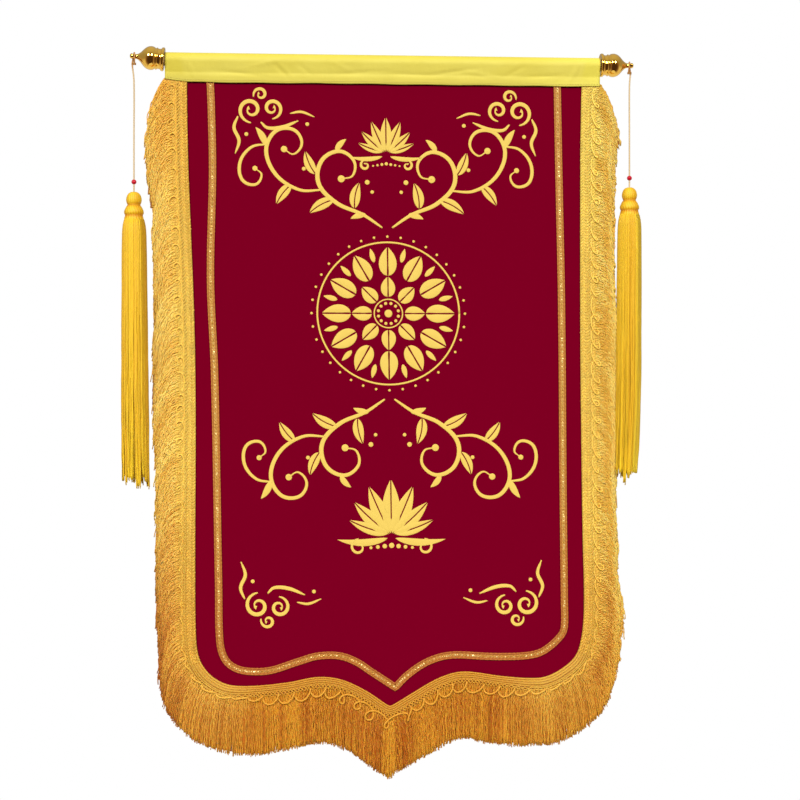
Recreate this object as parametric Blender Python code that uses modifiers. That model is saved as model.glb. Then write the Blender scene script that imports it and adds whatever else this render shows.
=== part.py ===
"""An honor banner on its rod, with tassels: a velvet panel with a pointed hem, edged with fringe.

The origin is on the rod's axis, midway between its ends. X runs to the right along the rod, Z is up,
and the banner's front faces -Y. Sizes are in millimetres, and MM makes metres of them.
"""

import math
import random
from collections import namedtuple

import bmesh
import bpy
from mathutils import Euler, Matrix, Vector
from mathutils.geometry import interpolate_bezier

MM = 0.001
CLEAR = 0.3  # between neighbouring pieces
DATUM = 1.5  # the cloth's heights in the tables are measured from this far above the rod's axis

# Rod and finials
ROD_RADIUS = 7.5
ROD_LENGTH = 553.0
ROD_SIDES = 24
FINIAL_FACE = 270.0  # from the rod's middle to the face of a finial's collar
FINIAL_STEPS = 18
NECK_RADIUS = 2.9
CORD_SEAT = 37.0  # from the collar's face to where the tassel's cord goes round the neck

# Heading: a sleeve of satin round the rod, sewn down over the top of the panel
HEADING_THICK = 1.0
HEADING_PINCH = -17.0  # the height where its two layers meet the cloth under the rod, from the datum
HEADING_BENDS = 14  # flat faces round the rod

# Panel
PANEL_TOP = -14.0
PANEL_THICK = 1.2
PANEL_COLUMNS = 36
PANEL_ROWS = 8
SWAY = 2.0  # how far the hanging cloth bows out of its plane
SWAY_WAVE = 290.0
SWAY_FROM = -40.0
SWAY_FULL = -420.0

# Fringe: a woven header that laps over the panel's edge, and the locks of yarn that hang from it
HEADER_THICK = 1.4
HEADER_LAP = 8.0
LOCK_LENGTH = 62.0
LOCK_RAGGED = 3.0
LOCK_WIDTH = 4.4
LOCK_APART = 0.6
LOCK_THICK = 2.2
LOCK_SHOULDER = 14.0  # from a lock's root to where it is thickest
LOCKS_FROM = -30.0  # the header is bare under the heading

# Scalloped cord laid on the header, all along the hem
GIMP_RADIUS = 0.6
GIMP_PITCH = 18.0
GIMP_MIDDLE = 18.0  # from the header's inner edge
GIMP_REACH = 6.0
GIMP_STEPS = 6  # for each scallop

# Border tape
TAPE_WIDTH = 9.0
TAPE_THICK = 1.0
TAPE_TOP = -16.0
TAPE_STEP = 13.0  # between the tape's sections

# Tassels
CORD_RADIUS = 1.0
CORD_STEP = 4.5
LOOP_RADIUS = NECK_RADIUS + CLEAR + CORD_RADIUS
LOOP_STEPS = 8  # from one side of the neck, over it, to the other
BEAD_RADIUS = 3.1
BEAD_STEPS = 14
TASSEL_STEPS = 18
SKIRT_LENGTH = 325.0
SKIRT_RAGGED = 8.0
STRAND_ROOT = 4.0  # how far a strand's root goes into the tassel's shoulder
STRAND_WIDTH = 2.9
STRAND_TIP_WIDTH = 1.5

Hem = namedtuple("Hem", "x z header lean")
Turned = namedtuple("Turned", "radius height")
Drop = namedtuple("Drop", "x depth")
Loop = namedtuple("Loop", "inward forward up")
Ring = namedtuple("Ring", "count top_radius low_radius")
Side = namedtuple("Side", "name sign tilt bead head spread lean")

# The panel's edge where the fringe starts, from the top left round to the top right, with the
# header's width there and how far the yarn leans out from plumb, in degrees. The sides bow a little,
# and the hem has a round corner, a lobe, a rise and a point.
HEM = (
    Hem(x=-242.0, z=PANEL_TOP, header=26.0, lean=-25.0),
    Hem(x=-242.0, z=-55.0, header=26.0, lean=-24.0),
    Hem(x=-241.0, z=-112.0, header=25.5, lean=-18.0),
    Hem(x=-239.0, z=-180.0, header=25.5, lean=-19.0),
    Hem(x=-234.0, z=-296.0, header=25.5, lean=-21.0),
    Hem(x=-232.0, z=-375.0, header=25.5, lean=-25.0),
    Hem(x=-231.5, z=-470.0, header=25.5, lean=-20.0),
    Hem(x=-232.0, z=-600.0, header=25.5, lean=-22.5),
    Hem(x=-231.5, z=-696.0, header=25.5, lean=-18.0),
    Hem(x=-228.5, z=-731.0, header=25.5, lean=-16.0),
    Hem(x=-220.0, z=-749.0, header=25.5, lean=-12.0),
    Hem(x=-206.0, z=-762.0, header=25.5, lean=-8.0),
    Hem(x=-189.0, z=-769.0, header=25.0, lean=-3.0),
    Hem(x=-160.0, z=-770.0, header=25.0, lean=0.0),
    Hem(x=-118.0, z=-766.0, header=25.0, lean=0.0),
    Hem(x=-82.0, z=-760.0, header=25.0, lean=0.0),
    Hem(x=-53.0, z=-763.5, header=25.0, lean=0.0),
    Hem(x=-22.0, z=-778.0, header=25.0, lean=0.0),
    Hem(x=2.5, z=-794.6, header=26.0, lean=0.0),
    Hem(x=7.5, z=-797.0, header=27.0, lean=0.0),
    Hem(x=12.5, z=-795.0, header=26.0, lean=0.0),
    Hem(x=33.5, z=-782.5, header=25.0, lean=0.0),
    Hem(x=62.0, z=-766.0, header=25.0, lean=0.0),
    Hem(x=86.0, z=-757.0, header=25.0, lean=0.0),
    Hem(x=105.0, z=-755.5, header=25.0, lean=0.0),
    Hem(x=149.0, z=-761.5, header=25.0, lean=0.0),
    Hem(x=190.0, z=-764.0, header=25.0, lean=1.0),
    Hem(x=208.0, z=-760.0, header=25.0, lean=3.0),
    Hem(x=228.0, z=-748.0, header=25.5, lean=8.0),
    Hem(x=238.5, z=-737.0, header=25.5, lean=12.0),
    Hem(x=244.5, z=-722.0, header=25.5, lean=15.0),
    Hem(x=248.5, z=-692.0, header=25.5, lean=18.0),
    Hem(x=249.0, z=-650.0, header=25.5, lean=22.5),
    Hem(x=247.5, z=-590.0, header=25.5, lean=19.0),
    Hem(x=246.0, z=-490.0, header=25.5, lean=18.0),
    Hem(x=244.5, z=-340.0, header=25.5, lean=19.0),
    Hem(x=244.5, z=-120.0, header=25.5, lean=16.5),
    Hem(x=245.5, z=-60.0, header=24.5, lean=19.0),
    Hem(x=247.0, z=PANEL_TOP, header=21.5, lean=25.0),
)
LEFT_CORNER = 10  # the rows of HEM where the panel's sides meet its hem, and its point
POINT = 19
RIGHT_CORNER = 29

# The middle of the border tape, from the top left round to the top right, as x and z, in two runs
# that meet at the tape's own point.
TAPE_LEFT = (
    (-214.5, TAPE_TOP),
    (-212.5, -60.0),
    (-211.0, -140.0),
    (-213.5, -270.0),
    (-208.5, -388.0),
    (-203.5, -650.0),
    (-202.0, -716.0),
    (-196.0, -737.0),
    (-184.0, -748.0),
    (-166.0, -752.5),
    (-140.0, -751.5),
    (-106.0, -741.0),
    (-82.0, -734.5),
    (-56.0, -734.5),
    (-35.0, -742.0),
    (-14.0, -756.0),
    (14.0, -774.5),
)
TAPE_RIGHT = (
    (14.0, -774.5),
    (28.5, -760.0),
    (49.5, -745.5),
    (70.0, -737.5),
    (90.0, -735.0),
    (130.0, -737.0),
    (168.0, -737.0),
    (190.0, -734.0),
    (204.0, -727.0),
    (220.5, -711.5),
    (224.5, -701.0),
    (224.5, -668.0),
    (223.0, -540.0),
    (221.0, -300.0),
    (218.0, -150.0),
    (215.5, TAPE_TOP),
)

# How far the heading's lower edge lies under the datum, from its left end to its right end.
HEADING_DROP = (
    Drop(x=-269.0, depth=25.5),
    Drop(x=-256.0, depth=27.5),
    Drop(x=-242.0, depth=29.0),
    Drop(x=-120.0, depth=29.3),
    Drop(x=0.0, depth=28.8),
    Drop(x=120.0, depth=29.2),
    Drop(x=244.0, depth=28.6),
    Drop(x=269.0, depth=28.8),
)

# A finial's outline from its tip down to the collar's face, and into the bore that the rod goes in.
FINIAL = (
    Turned(radius=0.0, height=42.0),
    Turned(radius=2.2, height=41.4),
    Turned(radius=3.4, height=39.9),
    Turned(radius=NECK_RADIUS, height=38.8),
    Turned(radius=NECK_RADIUS, height=33.2),
    Turned(radius=4.0, height=30.8),
    Turned(radius=6.6, height=28.0),
    Turned(radius=10.6, height=24.6),
    Turned(radius=13.4, height=21.0),
    Turned(radius=14.5, height=17.0),
    Turned(radius=14.0, height=13.4),
    Turned(radius=12.6, height=10.6),
    Turned(radius=13.4, height=9.2),
    Turned(radius=13.2, height=5.4),
    Turned(radius=14.4, height=3.0),
    Turned(radius=14.4, height=0.8),
    Turned(radius=13.8, height=0.0),
    Turned(radius=8.7, height=0.0),
    Turned(radius=8.7, height=7.4),
    Turned(radius=0.0, height=7.4),
)

# A tassel's head from its top down: two wrapped balls, and the shoulder that the skirt hangs from.
HEAD = (
    Turned(radius=0.0, height=0.0),
    Turned(radius=4.0, height=-0.8),
    Turned(radius=7.6, height=-4.0),
    Turned(radius=8.8, height=-8.4),
    Turned(radius=8.0, height=-12.6),
    Turned(radius=7.6, height=-14.4),
    Turned(radius=9.6, height=-16.8),
    Turned(radius=11.3, height=-21.4),
    Turned(radius=10.7, height=-25.4),
    Turned(radius=9.6, height=-27.6),
    Turned(radius=12.4, height=-31.0),
    Turned(radius=14.2, height=-37.0),
    Turned(radius=14.2, height=-40.0),
    Turned(radius=0.0, height=-40.0),
)

# The skirt's rings of strands, with their distance from the tassel's axis at the top and at the tips.
SKIRT = (
    Ring(count=20, top_radius=12.3, low_radius=13.2),
    Ring(count=12, top_radius=8.2, low_radius=9.0),
)

# The cord's way from its tail up one side of the finial's neck, and from its other side down to where
# it hangs plumb. The places are measured from the middle of the neck.
LOOP_UP = (
    Loop(inward=1.25, forward=0.0, up=-9.6),
    Loop(inward=1.2, forward=1.7, up=-6.6),
    Loop(inward=1.1, forward=3.4, up=-3.2),
)
LOOP_DOWN = (
    Loop(inward=-1.1, forward=-3.4, up=-3.2),
    Loop(inward=-1.2, forward=-1.7, up=-6.6),
    Loop(inward=-1.25, forward=-0.1, up=-9.8),
)
PLUMB_FROM = 26.0  # below the neck

# The two ends: the finial's tilt in degrees, how far the bead's middle and the tassel's top hang
# under the rod's axis, and how wide the tassel's skirt spreads and how far it leans inwards.
SIDES = (
    Side(name="left", sign=-1.0, tilt=5.5, bead=150.5, head=162.5, spread=1.1, lean=3.0),
    Side(name="right", sign=1.0, tilt=0.0, bead=140.5, head=152.0, spread=1.0, lean=0.0),
)


def clear_scene():
    """Empties the scene of all its objects."""
    for obj in list(bpy.data.objects):
        bpy.data.objects.remove(obj, do_unlink=True)


def new_collection(name):
    """An empty collection in the scene."""
    made = bpy.data.collections.new(name)
    bpy.context.scene.collection.children.link(made)
    return made


def material(name, color, roughness, metallic=0.0):
    """A Principled material with one colour."""
    made = bpy.data.materials.new(name)
    made.use_nodes = True
    shader = made.node_tree.nodes["Principled BSDF"]
    shader.inputs["Base Color"].default_value = (*color, 1.0)
    shader.inputs["Roughness"].default_value = roughness
    shader.inputs["Metallic"].default_value = metallic
    return made


def add(name, data, collection, finish):
    """A named object of this mesh or curve, in this material."""
    obj = bpy.data.objects.new(name, data)
    data.materials.append(finish)
    collection.objects.link(obj)
    return obj


def mesh_of(bm, name):
    """The finished bmesh as a mesh."""
    mesh = bpy.data.meshes.new(name)
    bm.to_mesh(mesh)
    bm.free()
    return mesh


def smooth_path(rows, step):
    """Points about step apart on a smooth curve through the rows, each with its place in the table."""
    points = [Vector(row) for row in rows]
    last = len(points) - 1
    headings = []
    for i in range(last + 1):
        headings.append((points[min(i + 1, last)] - points[max(i - 1, 0)]).normalized())
    path = [(points[0], 0.0)]
    for i, (start, end) in enumerate(zip(points, points[1:])):
        reach = (end - start).length / 3.0
        count = max(1, round((end - start).length / step))
        handles = (start + headings[i] * reach, end - headings[i + 1] * reach)
        curve = interpolate_bezier(start, *handles, end, count + 1)
        path += [(curve[k], i + k / count) for k in range(1, count + 1)]
    return path


def normals_of(points):
    """The outward direction at each point of a path that goes round the banner from its top left."""
    found = []
    for i in range(len(points)):
        before = (points[i] - points[max(i - 1, 0)]).normalized()
        after = (points[min(i + 1, len(points) - 1)] - points[i]).normalized()
        way = (before + after).normalized()
        square = max(way.dot(after if i == 0 else before), 0.5)
        found.append(Vector((way.y, -way.x)) / square)
    return found


def distances(points):
    """How far along a path each of its points is."""
    far = [0.0]
    for start, end in zip(points, points[1:]):
        far.append(far[-1] + (end - start).length)
    return far


def at_distance(values, far, wanted):
    """The value at a distance along a path, between its neighbours."""
    i = 1
    while i < len(far) - 1 and far[i] < wanted:
        i += 1
    share = (wanted - far[i - 1]) / (far[i] - far[i - 1])
    return values[i - 1] + (values[i] - values[i - 1]) * share


def spread_points(points, count):
    """This many even spaces along a path, as their end points."""
    far = distances(points)
    return [at_distance(points, far, far[-1] * k / count) for k in range(count + 1)]


def table_value(values, place):
    """A column's value at a place between two rows."""
    row = min(int(place), len(values) - 2)
    return values[row] + (values[row + 1] - values[row]) * (place - row)


def sway(x, z):
    """How far the cloth lies behind its plane: nothing under the heading, and most at the hem."""
    fall = min(max((SWAY_FROM - z) / (SWAY_FROM - SWAY_FULL), 0.0), 1.0)
    return SWAY * fall * fall * (3.0 - 2.0 * fall) * math.sin(2.0 * math.pi * (x + 40.0) / SWAY_WAVE)


def place(point, front):
    """A point of the cloth in metres, from its x and z and how far it is in front of the panel's middle."""
    return Vector((point[0], sway(point[0], point[1]) - front, point[1] + DATUM)) * MM


def grid(columns, rows, position):
    """A bmesh surface of columns by rows, each corner put where position(column, row) says."""
    bm = bmesh.new()
    bmesh.ops.create_grid(bm, x_segments=columns, y_segments=rows, size=1.0)
    for vert in bm.verts:
        column = round((vert.co.x + 1.0) * 0.5 * columns)
        row = round((vert.co.y + 1.0) * 0.5 * rows)
        vert.co = position(column, row)
    return bm


def sheet(name, bm, thickness, collection, finish):
    """A cloth of this thickness on an open surface."""
    obj = add(name, mesh_of(bm, name), collection, finish)
    shell = obj.modifiers.new("Thickness", "SOLIDIFY")
    shell.thickness = thickness * MM
    shell.offset = 0.0
    shell.use_even_offset = True
    return obj


def turned(name, profile, steps, closed, collection, finish):
    """A solid turned round its own Z axis from a profile that runs down its outer side."""
    bm = bmesh.new()
    ring = [bm.verts.new((row.radius * MM, 0.0, row.height * MM)) for row in profile]
    for start, end in zip(ring, ring[1:]):
        bm.edges.new((start, end))
    if closed:
        bm.edges.new((ring[-1], ring[0]))
    obj = add(name, mesh_of(bm, name), collection, finish)
    screw = obj.modifiers.new("Turn", "SCREW")
    screw.steps = steps
    screw.render_steps = steps
    screw.use_merge_vertices = True
    screw.merge_threshold = 0.0001
    screw.use_smooth_shade = True
    return obj


def tube(name, points, radius, resolution, collection, finish):
    """A cord of this radius along points in metres."""
    data = bpy.data.curves.new(name, "CURVE")
    data.dimensions = "3D"
    data.bevel_depth = radius * MM
    data.bevel_resolution = resolution
    data.use_fill_caps = True
    spline = data.splines.new("POLY")
    spline.points.add(len(points) - 1)
    for target, point in zip(spline.points, points):
        target.co = (*point, 1.0)
    return add(name, data, collection, finish)


def hem_path(step):
    """The panel's edge as dense points, with each one's place in HEM."""
    return smooth_path([(row.x, row.z) for row in HEM], step)


def build_rod(collection, finish):
    """The plain rod inside the heading, its ends in the finials."""
    bm = bmesh.new()
    lying = Matrix.Rotation(math.radians(90.0), 4, "Y")
    size = ROD_RADIUS * MM
    bmesh.ops.create_cone(
        bm,
        cap_ends=True,
        segments=ROD_SIDES,
        radius1=size,
        radius2=size,
        depth=ROD_LENGTH * MM,
        matrix=lying,
    )
    add("rod", mesh_of(bm, "rod"), collection, finish)


def build_finial(side, collection, finish):
    """A turned finial, its collar over the rod's end."""
    obj = turned("finial_" + side.name, FINIAL, FINIAL_STEPS, False, collection, finish)
    obj.location = (side.sign * FINIAL_FACE * MM, 0.0, 0.0)
    obj.rotation_euler = (0.0, side.sign * math.radians(90.0 - side.tilt), 0.0)


def heading_section(depth):
    """The sleeve's middle line from its front lower edge, over the rod, to its back lower edge, as y and z."""
    radius = ROD_RADIUS + CLEAR + HEADING_THICK / 2.0
    back = PANEL_THICK / 2.0 + CLEAR + HEADING_THICK / 2.0
    front = back + HEADER_THICK + CLEAR
    ends = []
    for y in (-front, back):
        pinch = Vector((y, HEADING_PINCH + DATUM))
        reach = pinch.length
        turn = math.acos(radius / reach)
        angle = math.atan2(pinch.y, pinch.x) + (turn if y > 0.0 else -turn)
        ends.append(angle)
    sweep = (ends[1] - ends[0]) % (2.0 * math.pi) - 2.0 * math.pi
    low, fold = DATUM - depth, DATUM + HEADING_PINCH
    section = [Vector((-front, low)), Vector((-front, fold))]
    for k in range(HEADING_BENDS + 1):
        angle = ends[0] + sweep * k / HEADING_BENDS
        section.append(Vector((math.cos(angle), math.sin(angle))) * radius)
    section += [Vector((back, fold)), Vector((back, low))]
    return section


def build_heading(collection, finish):
    """The sleeve, with its lower edge as uneven as the cloth's."""
    sections = [heading_section(row.depth) for row in HEADING_DROP]

    def position(column, row):
        """A corner of the sleeve's surface."""
        point = sections[column][row]
        return Vector((HEADING_DROP[column].x, point.x, point.y)) * MM

    bm = grid(len(HEADING_DROP) - 1, len(sections[0]) - 1, position)
    sheet("heading", bm, HEADING_THICK, collection, finish)


def build_panel(collection, finish):
    """The velvet panel, a hanging sheet that reaches under the fringe's header."""
    path = hem_path(3.0)
    middle = [point for point, _ in path]
    edge = [point + way * HEADER_LAP for point, way in zip(middle, normals_of(middle))]
    left, low, right = [
        next(i for i, (_, where) in enumerate(path) if where >= row)
        for row in (LEFT_CORNER, POINT, RIGHT_CORNER)
    ]
    half = PANEL_COLUMNS // 2
    bottom = spread_points(edge[left : low + 1], half)[:-1] + spread_points(edge[low : right + 1], half)
    west = spread_points(edge[left::-1], PANEL_ROWS)
    east = spread_points(edge[right:], PANEL_ROWS)
    top = spread_points([edge[0], edge[-1]], PANEL_COLUMNS)

    def position(column, row):
        """A corner of the surface that the four edges hold between them."""
        u = column / PANEL_COLUMNS
        v = row / PANEL_ROWS
        across = bottom[column] * (1.0 - v) + top[column] * v
        upward = west[row] * (1.0 - u) + east[row] * u
        low_line = bottom[0] * (1.0 - u) + bottom[-1] * u
        top_line = top[0] * (1.0 - u) + top[-1] * u
        return place(across + upward - low_line * (1.0 - v) - top_line * v, 0.0)

    sheet("panel", grid(PANEL_COLUMNS, PANEL_ROWS, position), PANEL_THICK, collection, finish)


def build_tape(collection, finish):
    """The border tape, laid on the panel's front."""
    left = [point for point, _ in smooth_path(TAPE_LEFT, TAPE_STEP)]
    right = [point for point, _ in smooth_path(TAPE_RIGHT, TAPE_STEP)]
    middle = left + right[1:]
    ways = normals_of(middle)
    front = (PANEL_THICK + TAPE_THICK) / 2.0 + CLEAR

    def position(column, row):
        """A corner of the tape: row 0 is its inner edge."""
        return place(middle[column] + ways[column] * TAPE_WIDTH * (row - 0.5), front)

    sheet("border_tape", grid(len(middle) - 1, 1, position), TAPE_THICK, collection, finish)


def lean_way(lean):
    """The direction of a yarn that leans from plumb by this many degrees, as x and z."""
    return Vector((math.sin(math.radians(lean)), -math.cos(math.radians(lean))))


def draw_lock(bm, face, way, length):
    """Draws a lock of yarn out of a face of the header's edge."""
    across = Vector((-way.y, 0.0, way.x))
    start = face.calc_center_median()
    middle = start
    for far, half_wide, half_thick in (
        (LOCK_SHOULDER, LOCK_WIDTH / 2.0, LOCK_THICK / 2.0),
        (length, LOCK_WIDTH / 3.4, LOCK_THICK / 3.2),
    ):
        face = bmesh.ops.extrude_discrete_faces(bm, faces=[face])["faces"][0]
        ahead = start + Vector((way.x, 0.0, way.y)) * far * MM
        for vert in face.verts:
            wide = math.copysign(half_wide, (vert.co - middle).dot(across))
            back = math.copysign(half_thick, vert.co.y - middle.y)
            vert.co = ahead + (across * wide + Vector((0.0, back, 0.0))) * MM
        middle = ahead


def build_fringe(collection, finish):
    """The fringe: a narrow header strip with its locks standing apart along its outer edge."""
    path = hem_path(1.0)
    inner = [point for point, _ in path]
    widths = [table_value([row.header for row in HEM], where) for _, where in path]
    leans = [table_value([row.lean for row in HEM], where) for _, where in path]
    outer = [point + way * width for point, way, width in zip(inner, normals_of(inner), widths)]
    far = distances(outer)

    # Each lock takes a stretch of the edge as long as its width needs at the yarn's slant.
    first = far[next(i for i, point in enumerate(outer) if point.y < LOCKS_FROM)]
    last = far[max(i for i, point in enumerate(outer) if point.y < LOCKS_FROM)]
    stops = [0.0]
    here = first
    while True:
        way = lean_way(at_distance(leans, far, here))
        edge = (at_distance(outer, far, here + 1.0) - at_distance(outer, far, here)).normalized()
        slant = max(abs(way.cross(edge)), 0.25)
        if here + LOCK_WIDTH / slant > last:
            break
        stops += [here, here + LOCK_WIDTH / slant]
        here += (LOCK_WIDTH + LOCK_APART) / slant
    stops.append(far[-1])

    front = (PANEL_THICK + HEADER_THICK) / 2.0 + CLEAR
    edges = [[at_distance(line, far, stop) for stop in stops] for line in (inner, outer)]
    bm = grid(len(stops) - 1, 1, lambda column, row: place(edges[row][column], front + HEADER_THICK / 2.0))
    column_of = bm.verts.layers.int.new("column")
    row_of = bm.verts.layers.int.new("row")
    bm.verts.ensure_lookup_table()
    for row in (0, 1):
        for column in range(len(stops)):
            vert = bm.verts[row * len(stops) + column]
            vert[column_of] = column
            vert[row_of] = row
    extruded = bmesh.ops.extrude_face_region(bm, geom=bm.faces[:])["geom"]
    moved = [item for item in extruded if isinstance(item, bmesh.types.BMVert)]
    bmesh.ops.translate(bm, verts=moved, vec=(0.0, HEADER_THICK * MM, 0.0))
    bmesh.ops.recalc_face_normals(bm, faces=bm.faces[:])

    ragged = random.Random(11)
    roots = [face for face in bm.faces if all(vert[row_of] == 1 for vert in face.verts)]
    for face in sorted(roots, key=lambda item: min(vert[column_of] for vert in item.verts)):
        column = min(vert[column_of] for vert in face.verts)
        if column % 2 == 0:
            continue
        middle = (stops[column] + stops[column + 1]) / 2.0
        length = LOCK_LENGTH + ragged.uniform(-LOCK_RAGGED, LOCK_RAGGED)
        draw_lock(bm, face, lean_way(at_distance(leans, far, middle)), length)
    add("fringe", mesh_of(bm, "fringe"), collection, finish)


def build_gimp(collection, finish):
    """The scalloped cord on the header, from one round corner of the hem to the other."""
    path = hem_path(1.5)
    inner = [point for point, _ in path]
    ways = normals_of(inner)
    start = next(i for i, (_, where) in enumerate(path) if where >= LEFT_CORNER - 1)
    end = next(i for i, (_, where) in enumerate(path) if where >= RIGHT_CORNER + 1)
    middle = [point + way * GIMP_MIDDLE for point, way in zip(inner[start:end], ways[start:end])]
    far = distances(middle)
    scallops = round(far[-1] / GIMP_PITCH)
    front = PANEL_THICK / 2.0 + HEADER_THICK + GIMP_RADIUS + 2.0 * CLEAR
    points = []
    for k in range(scallops * GIMP_STEPS + 1):
        stop = far[-1] * k / (scallops * GIMP_STEPS)
        way = at_distance(ways[start:end], far, stop).normalized()
        out = -GIMP_REACH * math.cos(2.0 * math.pi * k / GIMP_STEPS)
        points.append(place(at_distance(middle, far, stop) + way * out, front))
    tube("fringe_scallops", points, GIMP_RADIUS, 0, collection, finish)


def seat_of(side):
    """Where a tassel's cord goes round the finial's neck."""
    tilt = math.radians(side.tilt)
    out = FINIAL_FACE + CORD_SEAT * math.cos(tilt)
    return Vector((side.sign * out, 0.0, CORD_SEAT * math.sin(tilt)))


def build_cord(side, collection, finish):
    """The tassel's cord, looped once round the finial's neck and hanging plumb."""
    seat = seat_of(side)
    tilt = Euler((0.0, -side.sign * math.radians(side.tilt), 0.0)).to_matrix()
    over = []
    for k in range(LOOP_STEPS + 1):
        angle = math.pi * k / LOOP_STEPS
        share = 1.0 - 2.0 * k / LOOP_STEPS
        over.append(Loop(inward=share, forward=LOOP_RADIUS * math.cos(angle), up=LOOP_RADIUS * math.sin(angle)))
    route = []
    for row in (*LOOP_UP, *over, *LOOP_DOWN):
        route.append(seat + tilt @ Vector((-side.sign * row.inward, -row.forward, row.up)))
    end = -side.head + CLEAR
    route.append(Vector((seat.x, 0.0, -PLUMB_FROM)))
    route.append(Vector((seat.x, 0.0, (end - PLUMB_FROM) / 2.0)))
    route.append(Vector((seat.x, 0.0, end)))
    points = [point * MM for point, _ in smooth_path(route, CORD_STEP)]
    tube("cord_" + side.name, points, CORD_RADIUS, 2, collection, finish)


def build_bead(side, collection, finish):
    """A round bead with the cord through it."""
    profile = []
    for angle in (60.0, 30.0, 0.0, -30.0, -60.0):
        turn = math.radians(angle)
        profile.append(Turned(radius=BEAD_RADIUS * math.cos(turn), height=BEAD_RADIUS * math.sin(turn)))
    bore = CORD_RADIUS + CLEAR
    profile += [Turned(radius=bore, height=profile[-1].height), Turned(radius=bore, height=profile[0].height)]
    obj = turned("bead_" + side.name, profile, BEAD_STEPS, True, collection, finish)
    obj.location = (seat_of(side).x * MM, 0.0, -side.bead * MM)


def skirt_mesh(side):
    """The strands of a tassel's skirt, each a tapered four-sided length of yarn."""
    ragged = random.Random(5 if side.sign < 0.0 else 6)
    bm = bmesh.new()
    for ring in SKIRT:
        for k in range(ring.count):
            angle = 2.0 * math.pi * k / ring.count
            out = Vector((math.cos(angle), math.sin(angle), 0.0))
            length = SKIRT_LENGTH + ragged.uniform(-SKIRT_RAGGED, SKIRT_RAGGED)
            top = out * ring.top_radius + Vector((0.0, 0.0, HEAD[-1].height + STRAND_ROOT))
            low = out * ring.low_radius * side.spread + Vector((-side.sign * side.lean, 0.0, 0.0))
            low.z = HEAD[-1].height - length
            made = bmesh.ops.create_cone(
                bm,
                cap_ends=True,
                segments=4,
                radius1=STRAND_TIP_WIDTH * MM / math.sqrt(2.0),
                radius2=STRAND_WIDTH * MM / math.sqrt(2.0),
                depth=(top - low).length * MM,
            )
            along = (top - low).normalized()
            beside = along.cross(out).normalized()
            turn = Matrix((beside.cross(along), beside, along)).transposed().to_4x4()
            spin = Matrix.Rotation(math.pi / 4.0, 4, "Z")
            centre = Matrix.Translation((top + low) / 2.0 * MM)
            bmesh.ops.transform(bm, matrix=centre @ turn @ spin, verts=made["verts"])
    return mesh_of(bm, "skirt_" + side.name)


def build_tassel(side, collection, cutters, finish):
    """A tassel: a wrapped head, and a skirt of strands whose roots are one with its shoulder."""
    place_at = Vector((seat_of(side).x, 0.0, -side.head)) * MM
    head = turned("tassel_" + side.name, HEAD, TASSEL_STEPS, False, collection, finish)
    head.location = place_at
    skirt = add("skirt_" + side.name, skirt_mesh(side), cutters, finish)
    skirt.location = place_at
    skirt.hide_render = True
    skirt.display_type = "WIRE"
    joined = head.modifiers.new("Skirt", "BOOLEAN")
    joined.operation = "UNION"
    joined.solver = "EXACT"
    joined.object = skirt


def main():
    """Builds the banner from its rod outwards."""
    clear_scene()
    banner = new_collection("honor_banner")
    cutters = new_collection("cutters")
    wood = material("rod_wood", (0.62, 0.47, 0.26), 0.6)
    brass = material("finial_brass", (0.86, 0.58, 0.16), 0.15, 1.0)
    satin = material("heading_satin", (0.84, 0.72, 0.14), 0.45)
    velvet = material("panel_velvet", (0.2, 0.0, 0.016), 0.9)
    braid = material("tape_braid", (0.55, 0.27, 0.06), 0.5)
    yarn = material("fringe_yarn", (0.78, 0.47, 0.1), 0.6)
    gimp = material("gimp_yarn", (0.86, 0.56, 0.13), 0.5)
    silk = material("tassel_silk", (0.84, 0.55, 0.04), 0.5)
    string = material("cord_string", (0.74, 0.56, 0.27), 0.7)
    red = material("bead_red", (0.6, 0.01, 0.02), 0.3)

    build_rod(banner, wood)
    build_heading(banner, satin)
    build_panel(banner, velvet)
    build_tape(banner, braid)
    build_fringe(banner, yarn)
    build_gimp(banner, gimp)
    for side in SIDES:
        build_finial(side, banner, brass)
        build_cord(side, banner, string)
        build_bead(side, banner, red)
        build_tassel(side, banner, cutters, silk)


main()
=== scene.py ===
"""The picture scene of an honor banner: velvet panel, satin heading, gold fringe, tape, finials and tassels.

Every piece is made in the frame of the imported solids: X to the right along the rod, Z up, and the
banner's front facing -Y. Sizes are in millimetres, and MM makes metres of them. A point of the cloth
is given as x and z, with z from a datum a little above the rod's axis, and `front` is how far the
point lies before the middle of the velvet.
"""

from __future__ import annotations

import logging
import math
from dataclasses import dataclass, field
from enum import Enum
from typing import NamedTuple, Sequence, Union

import bpy
import numpy as np
from mathutils import Euler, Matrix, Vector
from mathutils.geometry import interpolate_bezier

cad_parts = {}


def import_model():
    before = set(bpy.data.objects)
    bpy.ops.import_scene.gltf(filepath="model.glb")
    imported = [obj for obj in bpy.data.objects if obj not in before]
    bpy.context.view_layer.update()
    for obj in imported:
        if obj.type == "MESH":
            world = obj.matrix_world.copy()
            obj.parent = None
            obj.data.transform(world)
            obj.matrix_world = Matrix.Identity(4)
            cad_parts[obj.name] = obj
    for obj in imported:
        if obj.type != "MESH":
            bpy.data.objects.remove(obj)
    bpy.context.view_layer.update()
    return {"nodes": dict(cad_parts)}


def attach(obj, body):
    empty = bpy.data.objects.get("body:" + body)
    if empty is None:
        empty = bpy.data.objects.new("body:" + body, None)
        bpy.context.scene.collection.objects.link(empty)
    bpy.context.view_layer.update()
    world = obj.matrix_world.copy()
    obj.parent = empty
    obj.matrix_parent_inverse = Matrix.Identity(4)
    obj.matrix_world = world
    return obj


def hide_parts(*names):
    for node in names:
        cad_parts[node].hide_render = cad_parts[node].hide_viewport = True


LOG = logging.getLogger("banner")
MM = 0.001
TURN = 2.0 * math.pi
BODY = "root"

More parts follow.
